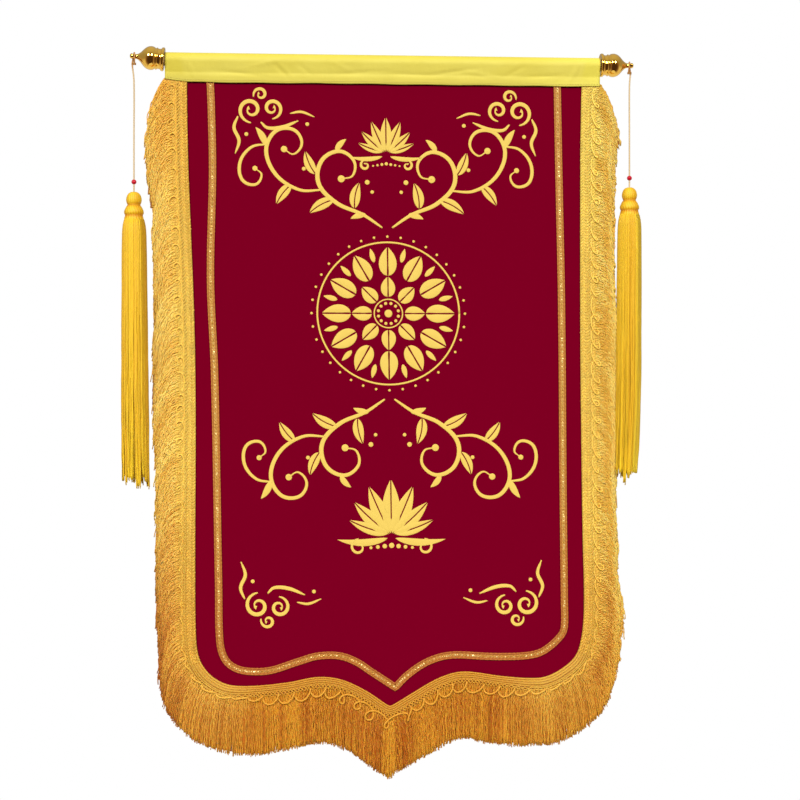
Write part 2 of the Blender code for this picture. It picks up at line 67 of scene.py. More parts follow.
Array = np.ndarray
Colour = tuple[float, float, float]
Pair = tuple[float, float]
Feed = Union["Wire", float, Sequence[float]]
Material = bpy.types.Material
Object = bpy.types.Object


# The sizes that the pieces share

CLEAR = 0.3
DATUM = 1.5
ROD_RADIUS = 7.5
FINIAL_FACE = 270.0
CORD_SEAT = 37.0
NECK_RADIUS = 2.9
CORD_RADIUS = 1.0
PANEL_THICK = 1.2
HEADER_THICK = 1.4
HEADER_WIDTH = 25.5
ON_VELVET = PANEL_THICK / 2.0 + CLEAR
FORWARD = np.array((0.0, -1.0, 0.0))
EVEN = (1.0, 1.0, 1.0)


class Station(NamedTuple):
    """A place on the panel's edge, with the header's width there and how far the yarn leans from plumb."""

    x: float
    z: float
    header: float
    lean: float


class Turned(NamedTuple):
    """A place on a turned outline."""

    radius: float
    height: float


class Side(NamedTuple):
    """One end of the rod, with how its finial and its tassel hang."""

    name: str
    sign: float
    tilt: float
    bead: float
    head: float
    spread: float
    lean: float
    skirt: float
    taper: float


def table(kind: type, rows: Sequence[tuple]) -> tuple:
    """A table of rows, whose columns are the kind's."""
    return tuple(kind(*row) for row in rows)


EDGE = table(Station, (
    (-242, -14, 26, -18), (-242, -55, 26, -24), (-241, -108, 25.5, -20.5), (-240.3, -135, 25.5, -15.5),
    (-234, -296, 25.5, -22), (-232, -375, 25.5, -25), (-231.5, -470, 25.5, -20), (-232, -600, 25.5, -22.5),
    (-231.5, -696, 25.5, -18), (-228.5, -731, 25.5, -16), (-220, -749, 25.5, -12), (-206, -762, 25.5, -8),
    (-189, -769, 25, -3), (-160, -770, 25, 0), (-118, -766, 25, 0), (-82, -760, 25, 0),
    (-53, -763.5, 25, 0), (-22, -778, 25, 0), (2.5, -794.6, 26, 0), (7.5, -797, 27, 0),
    (12.5, -795, 26, 0), (33.5, -782.5, 25, 0), (62, -766, 25, 0), (86, -757, 25, 0),
    (105, -755.5, 25, 0), (149, -761.5, 25, 0), (190, -764, 25, 1), (208, -760, 25, 3),
    (228, -748, 25.5, 8), (238.5, -737, 25.5, 12), (244.5, -722, 25.5, 15), (248.5, -692, 25.5, 18),
    (249, -650, 25.5, 20.5), (247.5, -590, 25.5, 17), (246, -490, 25.5, 16.5), (244.5, -340, 25.5, 19),
    (244.5, -120, 25.5, 14.5), (245.2, -72, 24.7, 15.5), (245.8, -40, 23.5, 23), (247, -14, 21.5, 17),
))
LEFT_CORNER, POINT, RIGHT_CORNER = 10, 19, 29

TAPE_LEFT = (
    (-214.5, -16), (-212.5, -60), (-211, -140), (-213.5, -270), (-208.5, -388), (-203.5, -650),
    (-202, -716), (-196, -737), (-184, -748), (-166, -752.5), (-140, -751.5), (-106, -741),
    (-82, -734.5), (-56, -734.5), (-35, -742), (-14, -756), (14, -774.5),
)
TAPE_RIGHT = (
    (14, -774.5), (28.5, -760), (49.5, -745.5), (70, -737.5), (90, -735), (130, -737), (168, -737),
    (190, -734), (204, -727), (220.5, -711.5), (224.5, -701), (224.5, -668), (223, -540), (221, -300),
    (218, -150), (215.5, -16),
)

SIDES = (
    Side(
        name="left", sign=-1.0, tilt=5.5, bead=150.5, head=162.5,
        spread=1.08, lean=1.6, skirt=322.0, taper=0.06,
    ),
    Side(
        name="right", sign=1.0, tilt=0.0, bead=140.5, head=152.0,
        spread=1.0, lean=2.0, skirt=330.0, taper=0.2,
    ),
)


# Nodes


class Bands(Enum):
    """The way that a cloth's ribs run."""

    UPRIGHT = "X"
    LEVEL = "Z"
    SLANTED = "DIAGONAL"


class Wire:
    """A value in the nodes, with Python's arithmetic."""

    def __init__(self, bench: Bench, socket: bpy.types.NodeSocket) -> None:
        """Holds the socket, and the bench that more nodes go on."""
        self.bench = bench
        self.socket = socket

    def _math(self, operation: str, *terms: Feed) -> Wire:
        """A Math node on these terms."""
        return self.bench.wire("ShaderNodeMath", {"operation": operation}, dict(enumerate(terms)))

    def __add__(self, other: Feed) -> Wire:
        """The sum."""
        return self._math("ADD", self, other)

    def __sub__(self, other: Feed) -> Wire:
        """The difference."""
        return self._math("SUBTRACT", self, other)

    def __rsub__(self, other: Feed) -> Wire:
        """The difference, from the right."""
        return self._math("SUBTRACT", other, self)

    def __mul__(self, other: Feed) -> Wire:
        """The product."""
        return self._math("MULTIPLY", self, other)

    __radd__ = __add__
    __rmul__ = __mul__

    def __abs__(self) -> Wire:
        """The size without its sign."""
        return self._math("ABSOLUTE", self)

    def rise(self, low: float, high: float) -> Wire:
        """A smooth change from 0 to 1.

        Args:
            low: Where it is 0.
            high: Where it is 1, which is under low for a fall.

        Returns:
            The change.
        """
        settings = {"interpolation_type": "SMOOTHSTEP"}
        first, last, start, end = (low, high, 0.0, 1.0) if low < high else (high, low, 1.0, 0.0)
        sockets = {"Value": self, "From Min": first, "From Max": last, "To Min": start, "To Max": end}
        return self.bench.wire("ShaderNodeMapRange", settings, sockets)


class Bench:
    """The nodes of one material, or of the surroundings."""

    def __init__(self, owner: Material | bpy.types.World) -> None:
        """Starts with the owner's own nodes.

        Args:
            owner: The material, or the surroundings.
        """
        owner.use_nodes = True
        self.owner = owner
        self.tree = owner.node_tree
        self.shader = self.tree.nodes.get("Principled BSDF")

    def wire(
        self, kind: str, settings: dict[str, object], sockets: dict[int | str, Feed], out: int | str = 0
    ) -> Wire:
        """One output of a new node of any kind.

        Args:
            kind: The node's type.
            settings: Its own settings, set before its sockets. "stops" are a ramp's places and colours.
            sockets: What goes into its input sockets, by name or number.
            out: The output, by name or number.

        Returns:
            The output.
        """
        made = self.tree.nodes.new(kind)
        for i, (place, colour) in enumerate(settings.get("stops", ())):
            stop = made.color_ramp.elements[i] if i < 2 else made.color_ramp.elements.new(place)
            stop.position = place
            stop.color = (*colour, 1.0)
        for key in settings.keys() - {"stops"}:
            setattr(made, key, settings[key])
        for key, value in sockets.items():
            self.plug(made.inputs[key], value)
        return Wire(self, made.outputs[out])

    def plug(self, socket: bpy.types.NodeSocket, value: Feed) -> None:
        """Links a wire to an input socket, or sets the socket's number, vector or colour.

        Args:
            socket: The input socket.
            value: The wire, or the constant.
        """
        if isinstance(value, Wire):
            self.tree.links.new(value.socket, socket)
        elif socket.type == "RGBA":
            socket.default_value = (*value, 1.0)
        else:
            socket.default_value = value

    def mix(self, factor: Feed, first: Feed, second: Feed, blend_type: str = "MIX") -> Wire:
        """Two colours mixed, with this much of the second."""
        settings = {"data_type": "RGBA", "blend_type": blend_type}
        return self.wire("ShaderNodeMix", settings, {0: factor, 6: first, 7: second}, 2)

    def place(self, stretch: Colour = EVEN) -> Wire:
        """The point on the object, in metres, stretched."""
        coordinates = self.wire("ShaderNodeTexCoord", {}, {}, "Object")
        return self.wire("ShaderNodeMapping", {}, {"Vector": coordinates, "Scale": stretch})

    def axis(self, vector: Wire, name: str) -> Wire:
        """A vector's X, Y or Z."""
        return self.wire("ShaderNodeSeparateXYZ", {}, {0: vector}, name)

    def noise(self, scale: float, detail: float = 2.0, stretch: Colour = EVEN) -> Wire:
        """Cloudy noise from 0 to 1, with about scale lumps to a metre."""
        sockets = {"Vector": self.place(stretch), "Scale": scale, "Detail": detail}
        return self.wire("ShaderNodeTexNoise", {}, sockets)

    def ribs(self, bands: Bands, pitch: float, bend: float) -> Wire:
        """Waves from 0 to 1 across the cloth.

        Args:
            bands: The way that the ribs run.
            pitch: How far apart they are in millimetres.
            bend: How much they wander.

        Returns:
            The waves.
        """
        settings = {"bands_direction": bands.value, "wave_profile": "SIN"}
        sockets = {"Vector": self.place(), "Scale": math.pi / (10.0 * pitch * MM), "Distortion": bend}
        return self.wire("ShaderNodeTexWave", settings, sockets, 1)

    def dyed(self, tint_share: Wire, tint: Colour) -> Wire:
        """The dye that is on the mesh, with this much of the tint worked into it."""
        dye = self.wire("ShaderNodeAttribute", {"attribute_name": "dye"}, {}, "Color")
        return self.mix(tint_share, dye, self.mix(1.0, dye, tint, "MULTIPLY"))

    def bump(self, height: Wire, depth: float) -> None:
        """Roughens the surface by a height map this many millimetres deep."""
        sockets = {"Height": height, "Distance": depth * MM, "Strength": 1.0}
        self.set(Normal=self.wire("ShaderNodeBump", {}, sockets))

    def set(self, **values: Feed) -> None:
        """Sets the shader's sockets, named with underlines for spaces."""
        for name, value in values.items():
            self.plug(self.shader.inputs[name.replace("_", " ")], value)


# Finishes


@dataclass(frozen=True)
class Finish:
    """A named finish, whose own kind lays out its nodes."""

    name: str

    def lay(self, bench: Bench) -> None:
        """Lays out the nodes."""
        raise NotImplementedError

    def make(self) -> Material:
        """Makes the finish.

        Returns:
            The material.
        """
        bench = Bench(bpy.data.materials.new(self.name))
        self.lay(bench)
        return bench.owner


@dataclass(frozen=True)
class Velvet(Finish):
    """Short upright pile on a woven ground."""

    colour: Colour
    brushed: Colour
    deep: Colour

    def lay(self, bench: Bench) -> None:
        """Lays out the nodes.

        Args:
            bench: The material's nodes.
        """
        nap = bench.noise(9.0, 3.0, (1.0, 1.0, 0.5)) * 0.5 + bench.noise(60.0) * 0.5
        pile = bench.noise(1400.0)
        colour = bench.mix(nap, self.colour, self.brushed)
        bench.set(Base_Color=bench.mix(0.3 * pile, colour, self.deep), Roughness=0.9, Specular_IOR_Level=0.0)
        bench.set(Sheen_Weight=0.04, Sheen_Roughness=0.5, Sheen_Tint=(0.9, 0.0, 0.15))
        bench.bump(pile, 0.12)


@dataclass(frozen=True)
class Satin(Finish):
    """A thin lustrous weave with a duller band: painted shade under the rod's bulge, with the fold of cloth
    behind it partly showing through.
    """

    colour: Colour
    # The shade colour is partly painted shade in the crumples
    shade: Colour
    # The dull colour is the painted shade of the band under the rod's bulge
    dull: Colour
    low: Colour
    pale: Colour

    def lay(self, bench: Bench) -> None:
        """Lays out the nodes.

        Args:
            bench: The material's nodes.
        """
        x, z = bench.axis(bench.place(), "X"), bench.axis(bench.place(), "Z")
        slub = bench.noise(40.0, 3.0, (0.25, 1.0, 6.0))
        cloud = bench.noise(13.0, 2.0, (1.0, 1.0, 2.2)).rise(0.34, 0.62)
        # The band between the hemmed ends is painted shade under the rod's bulge, partly the cloth behind
        # showing through
        between = z.rise(6.0 * MM, -1.0 * MM) * z.rise(-23.0 * MM, -16.0 * MM)
        painted_shade_band = between * (abs(x) - 0.25 * z).rise(254.0 * MM, 246.0 * MM) * (0.55 + 0.45 * cloud)
        crumple = bench.noise(30.0, 3.0, (1.6, 1.0, 0.9))
        threads = bench.ribs(Bands.UPRIGHT, 0.5, 0.4) * 0.5 + bench.ribs(Bands.LEVEL, 0.4, 0.4) * 0.5
        # Deeper where the cloth is crumpled in: painted shade in the crumples, with slubs that differ at
        # random
        colour = bench.mix(slub * 0.5 + crumple * 0.5, self.shade, self.colour)
        # Darker towards the lower edge: painted shade on the upright bottom strip
        colour = bench.mix(z.rise(-14.0 * MM, -26.0 * MM) * 0.9, colour, self.low)
        colour = bench.mix(x.rise(150.0 * MM, 262.0 * MM) * 0.45, colour, self.pale)
        bench.set(Base_Color=bench.mix(painted_shade_band, colour, self.dull), Roughness=0.45 + 0.16 * slub)
        bench.set(Specular_IOR_Level=0.3, Sheen_Weight=0.08, Sheen_Roughness=0.4)
        bench.bump(crumple * 0.9 + threads * 0.08, 1.0)


@dataclass(frozen=True)
class Yarn(Finish):
    """Lustrous dyed thread that lets some light through, whose own colour is on the mesh as its dye."""

    roughness: float
    ply: float
    relief: float
    metallic: float = 0.0
    glow: float = 0.0

    def lay(self, bench: Bench) -> None:
        """Lays out the nodes.

        Args:
            bench: The material's nodes.
        """
        fibre = bench.noise(700.0, 2.0, (1.0, 1.0, 0.25))
        bench.set(Base_Color=bench.dyed(0.5 * fibre, (0.72, 0.58, 0.42)), Roughness=self.roughness)
        bench.set(Specular_IOR_Level=0.25, Metallic=self.metallic)
        bench.set(Subsurface_Weight=self.glow, Subsurface_Radius=(0.75, 1.0, 1.0), Subsurface_Scale=0.8 * MM)
        bench.set(Sheen_Weight=0.08, Sheen_Roughness=0.35, Sheen_Tint=(1.0, 0.85, 0.4))
        bench.bump(bench.ribs(Bands.SLANTED, self.ply, 0.6) * 0.6 + fibre * 0.4, self.relief)


@dataclass(frozen=True)
class Braid(Finish):
    """Flat braid with fine ribs, in its dyed threads' colours, with painted shade in the hollows between the
    ribs.
    """

    pitch: float
    relief: float

    def lay(self, bench: Bench) -> None:
        """Lays out the nodes.

        Args:
            bench: The material's nodes.
        """
        level = bench.ribs(Bands.LEVEL, self.pitch, 1.5)
        upright = bench.ribs(Bands.UPRIGHT, self.pitch * 1.3, 1.5)
        ribs = level * 0.6 + upright * 0.4
        fibre = bench.noise(900.0)
        # Tinted deeper between the ribs: painted shade in their hollows, with fibres that differ at random
        tint_share = (1.0 - ribs) * 0.55 + fibre * 0.2
        bench.set(Base_Color=bench.dyed(tint_share, (0.7, 0.55, 0.35)), Roughness=0.55)
        bench.set(Specular_IOR_Level=0.25, Sheen_Weight=0.08, Sheen_Tint=(1.0, 0.85, 0.4))
        bench.bump(ribs * 0.7 + fibre * 0.3, self.relief)


@dataclass(frozen=True)
class Twine(Finish):
    """Thin twisted string, darker where it goes round the gold."""

    colour: Colour
    shade: Colour
    top_tone: Colour

    def lay(self, bench: Bench) -> None:
        """Lays out the nodes.

        Args:
            bench: The material's nodes.
        """
        plies = bench.ribs(Bands.SLANTED, 1.5, 0.4)
        dyed = bench.mix(0.3 * plies + 0.7 * bench.noise(25.0), self.colour, self.shade)
        near_neck = bench.axis(bench.place(), "Z").rise(-17.0 * MM, -7.0 * MM)
        bench.set(Base_Color=bench.mix(near_neck, dyed, self.top_tone), Roughness=0.7)
        bench.bump(plies, 0.2)


@dataclass(frozen=True)
class Mottled(Finish):
    """A plain surface that varies in soft spots, for wood, plating, a glaze, flock or paint.

    The spots are between a low and a high colour, with `scale` of them to a metre. They roughen the surface
    by `vary`. A `cloud` of larger spots takes half of their place in the colour. The relief is theirs too,
    unless `fine` gives its own scale.
    """

    low: Colour
    high: Colour
    scale: float
    roughness: float
    vary: float = 0.0
    detail: float = 2.0
    stretch: Colour = EVEN
    cloud: float = 0.0
    relief: float = 0.0
    fine: float = 0.0
    metallic: float = 0.0
    specular: float = 0.5

    def lay(self, bench: Bench) -> None:
        """Lays out the nodes.

        Args:
            bench: The material's nodes.
        """
        spots = bench.noise(self.scale, self.detail, self.stretch)
        tone = spots * 0.5 + bench.noise(self.cloud) * 0.5 if self.cloud else spots
        rough = self.roughness + self.vary * spots if self.vary else self.roughness
        bench.set(Base_Color=bench.mix(tone, self.low, self.high), Roughness=rough)
        bench.set(Metallic=self.metallic, Specular_IOR_Level=self.specular)
        if self.relief:
            bench.bump(bench.noise(self.fine) if self.fine else spots, self.relief)


# Shapes


def ramp(value: Array, start: Array | float, reach: Array | float) -> Array:
    """How far a value is beyond the start, from 0 to 1 over the reach, which is less than 0 for downwards."""
    return np.clip((value - start) / reach, 0.0, 1.0)


def eased(share: Array) -> Array:
    """A share from 0 to 1, with soft ends."""
    return share * share * (3.0 - 2.0 * share)


def bell(value: Array, middle: Array | float, reach: float) -> Array:
    """A soft peak, which is 1 at the middle."""
    return np.exp(-(((value - middle) / reach) ** 2))


def blend(first: Array | Colour, second: Array | Colour, share: Array) -> Array:
    """Two colours mixed, with this share of the second."""
    return np.asarray(first) * (1.0 - share) + np.asarray(second) * share


def unit(vectors: Array) -> Array:
    """The vectors at length 1."""
    return vectors / np.maximum(np.linalg.norm(vectors, axis=-1, keepdims=True), 1e-12)


def heading_at(angle: Array | float) -> Array:
    """The flat vectors of length 1 at these angles."""
    return np.stack((np.cos(angle), np.sin(angle)), axis=-1)


def leftward(ways: Array) -> Array:
    """The flat vectors, a quarter turn to the left."""
    return np.stack((-ways[..., 1], ways[..., 0]), axis=-1)


def around(count: int) -> Array:
    """The angles of even steps round a circle."""
    return TURN * np.arange(count) / count


def distances(line: Array) -> Array:
    """How far along a line each of its points is."""
    return np.concatenate(([0.0], np.cumsum(np.linalg.norm(np.diff(line, axis=0), axis=1))))


def smooth_path(rows: Sequence[Sequence[float]], step: float) -> tuple[Array, Array]:
    """A smooth curve through the rows.

    Args:
        rows: The points that it passes.
        step: About how far apart its own points are.

    Returns:
        The points, and each one's place in the rows.
    """
    points = [Vector(row) for row in rows]
    last = len(points) - 1
    ways = [(points[min(i + 1, last)] - points[max(i - 1, 0)]).normalized() for i in range(last + 1)]
    path, places = [points[0]], [0.0]
    for i, (start, end) in enumerate(zip(points, points[1:])):
        reach = (end - start).length / 3.0
        count = max(1, round((end - start).length / step))
        curve = interpolate_bezier(start, start + ways[i] * reach, end - ways[i + 1] * reach, end, count + 1)
        path += curve[1:]
        places += [i + k / count for k in range(1, count + 1)]
    return np.array([tuple(point) for point in path]), np.array(places)


def surface(flat: Array, front: Array | float) -> Array:
    """Points of the cloth in space, in metres.

    Args:
        flat: Their x and z.
        front: How far each lies before the middle of the velvet.

    Returns:
        The points, with the slow bow that the hanging cloth has.
    """
    x, z = flat[..., 0], flat[..., 1]
    bow = 2.0 * eased(ramp(z, -40.0, -380.0)) * np.sin(TURN * (x + 40.0) / 290.0)
    return np.stack((x, bow - front, z + DATUM), axis=-1) * MM


class Path:
    """A path on the cloth, round the banner from its top left, read by the distance along it."""

    def __init__(self, points: Array, places: Array) -> None:
        """Measures the path, and finds the outward way at each point.

        Args:
            points: Its points.
            places: Each point's place in the table that the path was drawn from.
        """
        along = unit(np.diff(points, axis=0))
        before = np.concatenate((along[:1], along))
        way = unit(before + np.concatenate((along, along[-1:])))
        self.points = points
        self.places = places
        self.out = -leftward(way) / np.maximum((way * before).sum(axis=1), 0.5)[:, None]
        self.far = distances(points)
        self.length = float(self.far[-1])

    def read(self, values: Array, far: Array) -> Array:
        """Values between the path's points.

        Args:
            values: A value or a vector for each point of the path.
            far: The distances.

        Returns:
            The value or vector at each distance.
        """
        if values.ndim == 1:
            return np.interp(far, self.far, values)
        return np.stack([np.interp(far, self.far, column) for column in values.T], axis=-1)

    def offset(self, far: Array, out: Array | float) -> Array:
        """Points at these distances, moved outwards."""
        return self.read(self.points, far) + self.read(self.out, far) * np.asarray(out)[..., None]

    def moved(self, out: Array | float) -> Path:
        """The path that runs this far outside this one."""
        return Path(self.points + self.out * np.asarray(out)[..., None], self.places)

    def where(self, place: float) -> float:
        """The distance along at a place in the table."""
        return float(np.interp(place, self.places, self.far))


def linked(name: str, data: bpy.types.ID) -> Object:
    """A new object, in the scene.

    Args:
        name: Its name.
        data: Its mesh, curve, camera or light.

    Returns:
        The object.
    """
    made = bpy.data.objects.new(name, data)
    bpy.context.scene.collection.objects.link(made)
    return made


def object_of(name: str, points: Array, faces: Sequence[Array], dye: Array | None = None) -> Object:
    """A mesh object in the scene, smooth but for its end caps.

    Args:
        name: The piece's name.
        points: Its points, in metres.
        faces: Arrays of faces, each with its own number of corners.
        dye: The colour of each point, if its finish reads one.

    Returns:
        The object.
    """
    mesh = bpy.data.meshes.new(name)
    mesh.vertices.add(len(points))
    mesh.vertices.foreach_set("co", points.astype(np.float32).ravel())
    corners = np.concatenate([part.ravel() for part in faces]).astype(np.int32)
    counts = np.concatenate([np.full(len(part), part.shape[1]) for part in faces])
    mesh.loops.add(len(corners))
    mesh.loops.foreach_set("vertex_index", corners)
    mesh.polygons.add(len(counts))
    mesh.polygons.foreach_set("loop_start", (np.cumsum(counts) - counts).astype(np.int32))
    mesh.polygons.foreach_set("use_smooth", counts == 4)
    mesh.update(calc_edges=True)
    if dye is not None:
        layer = mesh.color_attributes.new("dye", "FLOAT_COLOR", "POINT")
        full = np.concatenate((dye, np.ones((len(dye), 1))), axis=1)
        layer.data.foreach_set("color", full.astype(np.float32).ravel())
    return linked(name, mesh)


def lattice(columns: int, rows: int, closed: bool = False) -> Array:
    """The four-cornered faces of a grid of points.

    Args:
        columns: How many columns of points there are.
        rows: How many points are in a column.
        closed: Whether the last column joins the first.

    Returns:
        The faces.
    """
    index = np.arange(columns * rows).reshape(columns, rows)
    after = np.roll(index, -1, axis=0) if closed else index[1:]
    first = index if closed else index[:-1]
    return np.stack((first[:, :-1], after[:, :-1], after[:, 1:], first[:, 1:]), axis=-1).reshape(-1, 4)


@dataclass
class Shape:
    """Points and faces of many small forms on their way to one mesh."""

    points: list[Array] = field(default_factory=list)
    faces: dict[int, list[Array]] = field(default_factory=dict)
    dyes: list[Array] = field(default_factory=list)
    count: int = 0

    def add(self, points: Array, faces: Sequence[Array], dye: Array | Colour) -> None:
        """Takes one more form.

        Args:
            points: Its points, in metres.
            faces: Its faces, numbered from its own first point.
            dye: Its colour, or one for each point.
        """
        for part in faces:
            self.faces.setdefault(part.shape[1], []).append(part + self.count)
        self.points.append(points)
        self.dyes.append(np.broadcast_to(np.asarray(dye, dtype=float), (len(points), 3)))
        self.count += len(points)

    def threads(
        self, paths: Array, radii: Array | float, sides: int, dye: Array | Colour, lobes: float = 0.0
    ) -> None:
        """Adds round threads with closed ends.

        Args:
            paths: Their centre lines in metres, thread by thread.
            radii: Their radii in metres, for each point.
            sides: How many faces go round one.
            dye: One colour, or one for each thread, or one for each thread's point.
            lobes: How deep the two plies of a cord show.
        """
        count, steps = paths.shape[:2]
        along = unit(np.gradient(paths, axis=1))
        side = unit(np.cross(along, -FORWARD))
        up = np.cross(side, along)
        angle = around(sides)
        radii = np.broadcast_to(np.asarray(radii, dtype=float), (count, steps))[..., None]
        if lobes:
            far = np.stack([distances(path) for path in paths])[..., None]
            radii = radii * (1.0 + lobes * np.cos(2.0 * (angle - far / (radii * 5.5) * math.pi)))
        ring = side[:, :, None] * np.cos(angle)[:, None] + up[:, :, None] * np.sin(angle)[:, None]
        points = paths[:, :, None] + ring * np.broadcast_to(radii, (count, steps, sides))[..., None]
        index = np.arange(count * steps * sides).reshape(count, steps, sides)
        turned = np.roll(index, -1, axis=2)
        walls = np.stack((index[:, :-1], index[:, 1:], turned[:, 1:], turned[:, :-1]), axis=-1)
        caps = np.concatenate((index[:, 0], index[:, -1, ::-1]))
        dye = np.asarray(dye, dtype=float)
        dye = np.broadcast_to(dye[:, None] if dye.ndim == 2 else dye, (count, steps, 3))
        full = np.repeat(dye.reshape(-1, 3), sides, axis=0)
        self.add(points.reshape(-1, 3), (walls.reshape(-1, 4), caps), full)

    def make(self, name: str) -> Object:
        """The finished object."""
        faces = [np.concatenate(parts) for parts in self.faces.values()]
        return object_of(name, np.concatenate(self.points), faces, np.concatenate(self.dyes))


def thickened(points: Array, thick: float, outward: Array | None = None) -> tuple[Array, list[Array]]:
    """A closed cloth from a grid of points.

    Args:
        points: The grid's points in metres, in columns to the right whose rows run up.
        thick: The cloth's thickness in millimetres.
        outward: The direction that it is thick in, if that isn't square to it.

    Returns:
        The closed shape's points and its faces.
    """
    columns, rows = points.shape[:2]
    if outward is None:
        outward = unit(np.cross(np.gradient(points, axis=0), np.gradient(points, axis=1)))
    half = outward * thick * MM / 2.0
    both = np.concatenate(((points + half).reshape(-1, 3), (points - half).reshape(-1, 3)))
    front = lattice(columns, rows)
    index = np.arange(columns * rows).reshape(columns, rows)
    rim = np.concatenate((index[:, 0], index[-1, 1:], index[-2::-1, -1], index[0, -2:0:-1]))
    after = np.roll(rim, -1)
    size = columns * rows
    walls = np.stack((rim, rim + size, after + size, after), axis=1)
    return both, [front, front[:, ::-1] + size, walls]


def turned_shape(
    outline: Sequence[Turned], step: float, steps: int, bore: Array | None = None
) -> tuple[Array, Array]:
    """A smooth turned form about Z.

    Args:
        outline: Its outline, from the top down.
        step: About how far apart the points down the outline are.
        steps: How many columns go round it.
        bore: The radii and heights of a bore with sharp edges, from its rim inwards.

    Returns:
        Its points in millimetres, as columns by rows, and its faces.
    """
    line = smooth_path(outline, step)[0]
    line[:, 0] = np.maximum(line[:, 0], 0.02)
    if bore is not None:
        line = np.concatenate((line, bore))
    heights = np.broadcast_to(line[:, 1:], (steps, len(line), 1))
    points = np.concatenate((heading_at(around(steps))[:, None] * line[:, :1], heights), axis=2)
    return points, lattice(steps, len(line), closed=True)[:, ::-1]


def dressed(piece: Object, finish: Material, slot: str, *nodes: str) -> Object:
    """Gives a piece its finish and its place on the part.

    Args:
        piece: The piece.
        finish: Its material.
        slot: Not used.
        *nodes: The solids that it stands for.

    Returns:
        The same piece.
    """
    piece.data.materials.append(finish)
    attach(piece, BODY)
    if nodes:
        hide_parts(*nodes)
    LOG.info("%s is dressed in %s", piece.name, finish.name)
    return piece


# The studio


@dataclass
class Studio:
    """The camera, two soft lights, pale surroundings that are dark in front, and a pale floor."""

    lens: float = 80.0
    distance: float = 2.2
    yaw: float = 4.0
    target: tuple[float, float, float] = (0.0198, 0.0, -0.4175)
    floor_level: float = -1.9
    floor_radius: float = 1.1
    floor_sides: int = 64
    light_strength: float = 2.35
    light_spread: float = 15.0
    light_distance: float = 3.0
    stops: tuple[tuple[float, Colour], ...] = (
        (0.0, (0.95, 0.93, 0.9)),
        (0.36, (0.85, 0.82, 0.78)),
        (0.5, (0.42, 0.38, 0.34)),
        (0.7, (0.4, 0.38, 0.36)),
        (1.0, (0.66, 0.64, 0.62)),
    )

    def _aimed(self, name: str, data: bpy.types.ID, place: Vector, way: Vector) -> Object:
        """Places a camera or a light.

        Args:
            name: Its name.
            data: Its camera or light data.
            place: Where it stands.
            way: The direction that it faces.

        Returns:
            The object.
        """
        made = linked(name, data)
        made.location = place
        made.rotation_mode = "QUATERNION"
        made.rotation_quaternion = way.to_track_quat("-Z", "Y")
        return made

    def build_camera(self) -> None:
        """A camera a little to the left, level with the middle of the banner."""
        data = bpy.data.cameras.new("camera")
        data.lens = self.lens
        data.sensor_width = 36.0
        turn = math.radians(self.yaw)
        way = Vector((math.sin(turn), math.cos(turn), 0.0))
        place = Vector(self.target) - way * self.distance
        bpy.context.scene.camera = self._aimed("camera", data, place, way)

    def build_light(self, name: str, azimuth: float, elevation: float) -> None:
        """A soft light from in front, so far off that it is even over the whole banner.

        Args:
            name: Its name.
            azimuth: Its angle to the right of straight ahead, in degrees.
            elevation: Its angle above the level, in degrees.
        """
        data = bpy.data.lights.new(name, "SUN")
        data.energy = self.light_strength
        data.angle = math.radians(self.light_spread)
        a, e = math.radians(azimuth), math.radians(elevation)
        back = Vector((math.sin(a) * math.cos(e), -math.cos(a) * math.cos(e), math.sin(e)))
        self._aimed(name, data, back * self.light_distance, -back)

    def build_surroundings(self) -> None:
        """White where the camera looks, and for light and reflections a pale room, dark in front."""
        bench = Bench(bpy.data.worlds.new("surroundings"))
        bpy.context.scene.world = bench.owner
        way = bench.wire("ShaderNodeTexCoord", {}, {}, "Generated")
        ahead = {0: way, 1: (0.0, -0.9, -0.43)}
        front = bench.wire("ShaderNodeVectorMath", {"operation": "DOT_PRODUCT"}, ahead, "Value")
        height = bench.axis(way, "Z")
        room = bench.wire("ShaderNodeValToRGB", {"stops": self.stops}, {0: height * 0.5 + 0.5})
        gloom = 1.0 - 0.86 * front.rise(0.1, 0.9)
        room = bench.mix(front.rise(0.1, 0.7), room, (0.5, 0.27, 0.2))
        lit = bench.wire("ShaderNodeBackground", {}, {"Color": room, "Strength": gloom})
        seen = bench.wire("ShaderNodeBackground", {}, {"Color": (1.0, 1.0, 1.0), "Strength": 1.0})
        ray = bench.wire("ShaderNodeLightPath", {}, {}, "Is Camera Ray")
        mixed = bench.wire("ShaderNodeMixShader", {}, {0: ray, 1: lit, 2: seen})
        bench.plug(bench.tree.nodes["World Output"].inputs["Surface"], mixed)

    def build_floor(self) -> None:
        """A plain pale floor, well below the hanging banner."""
        sides = self.floor_sides
        flat = heading_at(around(sides)) * self.floor_radius
        rim = np.concatenate((flat, np.full((sides, 1), self.floor_level)), axis=1)
        floor = object_of("floor", rim, [np.arange(sides)[None, :]])
        paint = Mottled("floor_paint", (0.86, 0.86, 0.85), (0.9, 0.9, 0.89), 30.0, 0.8, detail=3.0)
        floor.data.materials.append(paint.make())

    def build(self) -> None:
        """Sets up the whole studio."""
        self.build_camera()
        self.build_light("soft_light_left", -30.0, 23.0)
        self.build_light("soft_light_right", 20.0, 23.0)
        self.build_surroundings()
        self.build_floor()
        view = bpy.context.scene.view_settings
        view.view_transform = "Standard"
        view.look = "None"
        LOG.info("studio")


# Tassels on their cords


class Ring(NamedTuple):
    """A ring of a tassel's yarns: how many, and its radius at the neck, the shoulder and the lower end."""

    count: int
    neck: float
    shoulder: float
    low: float


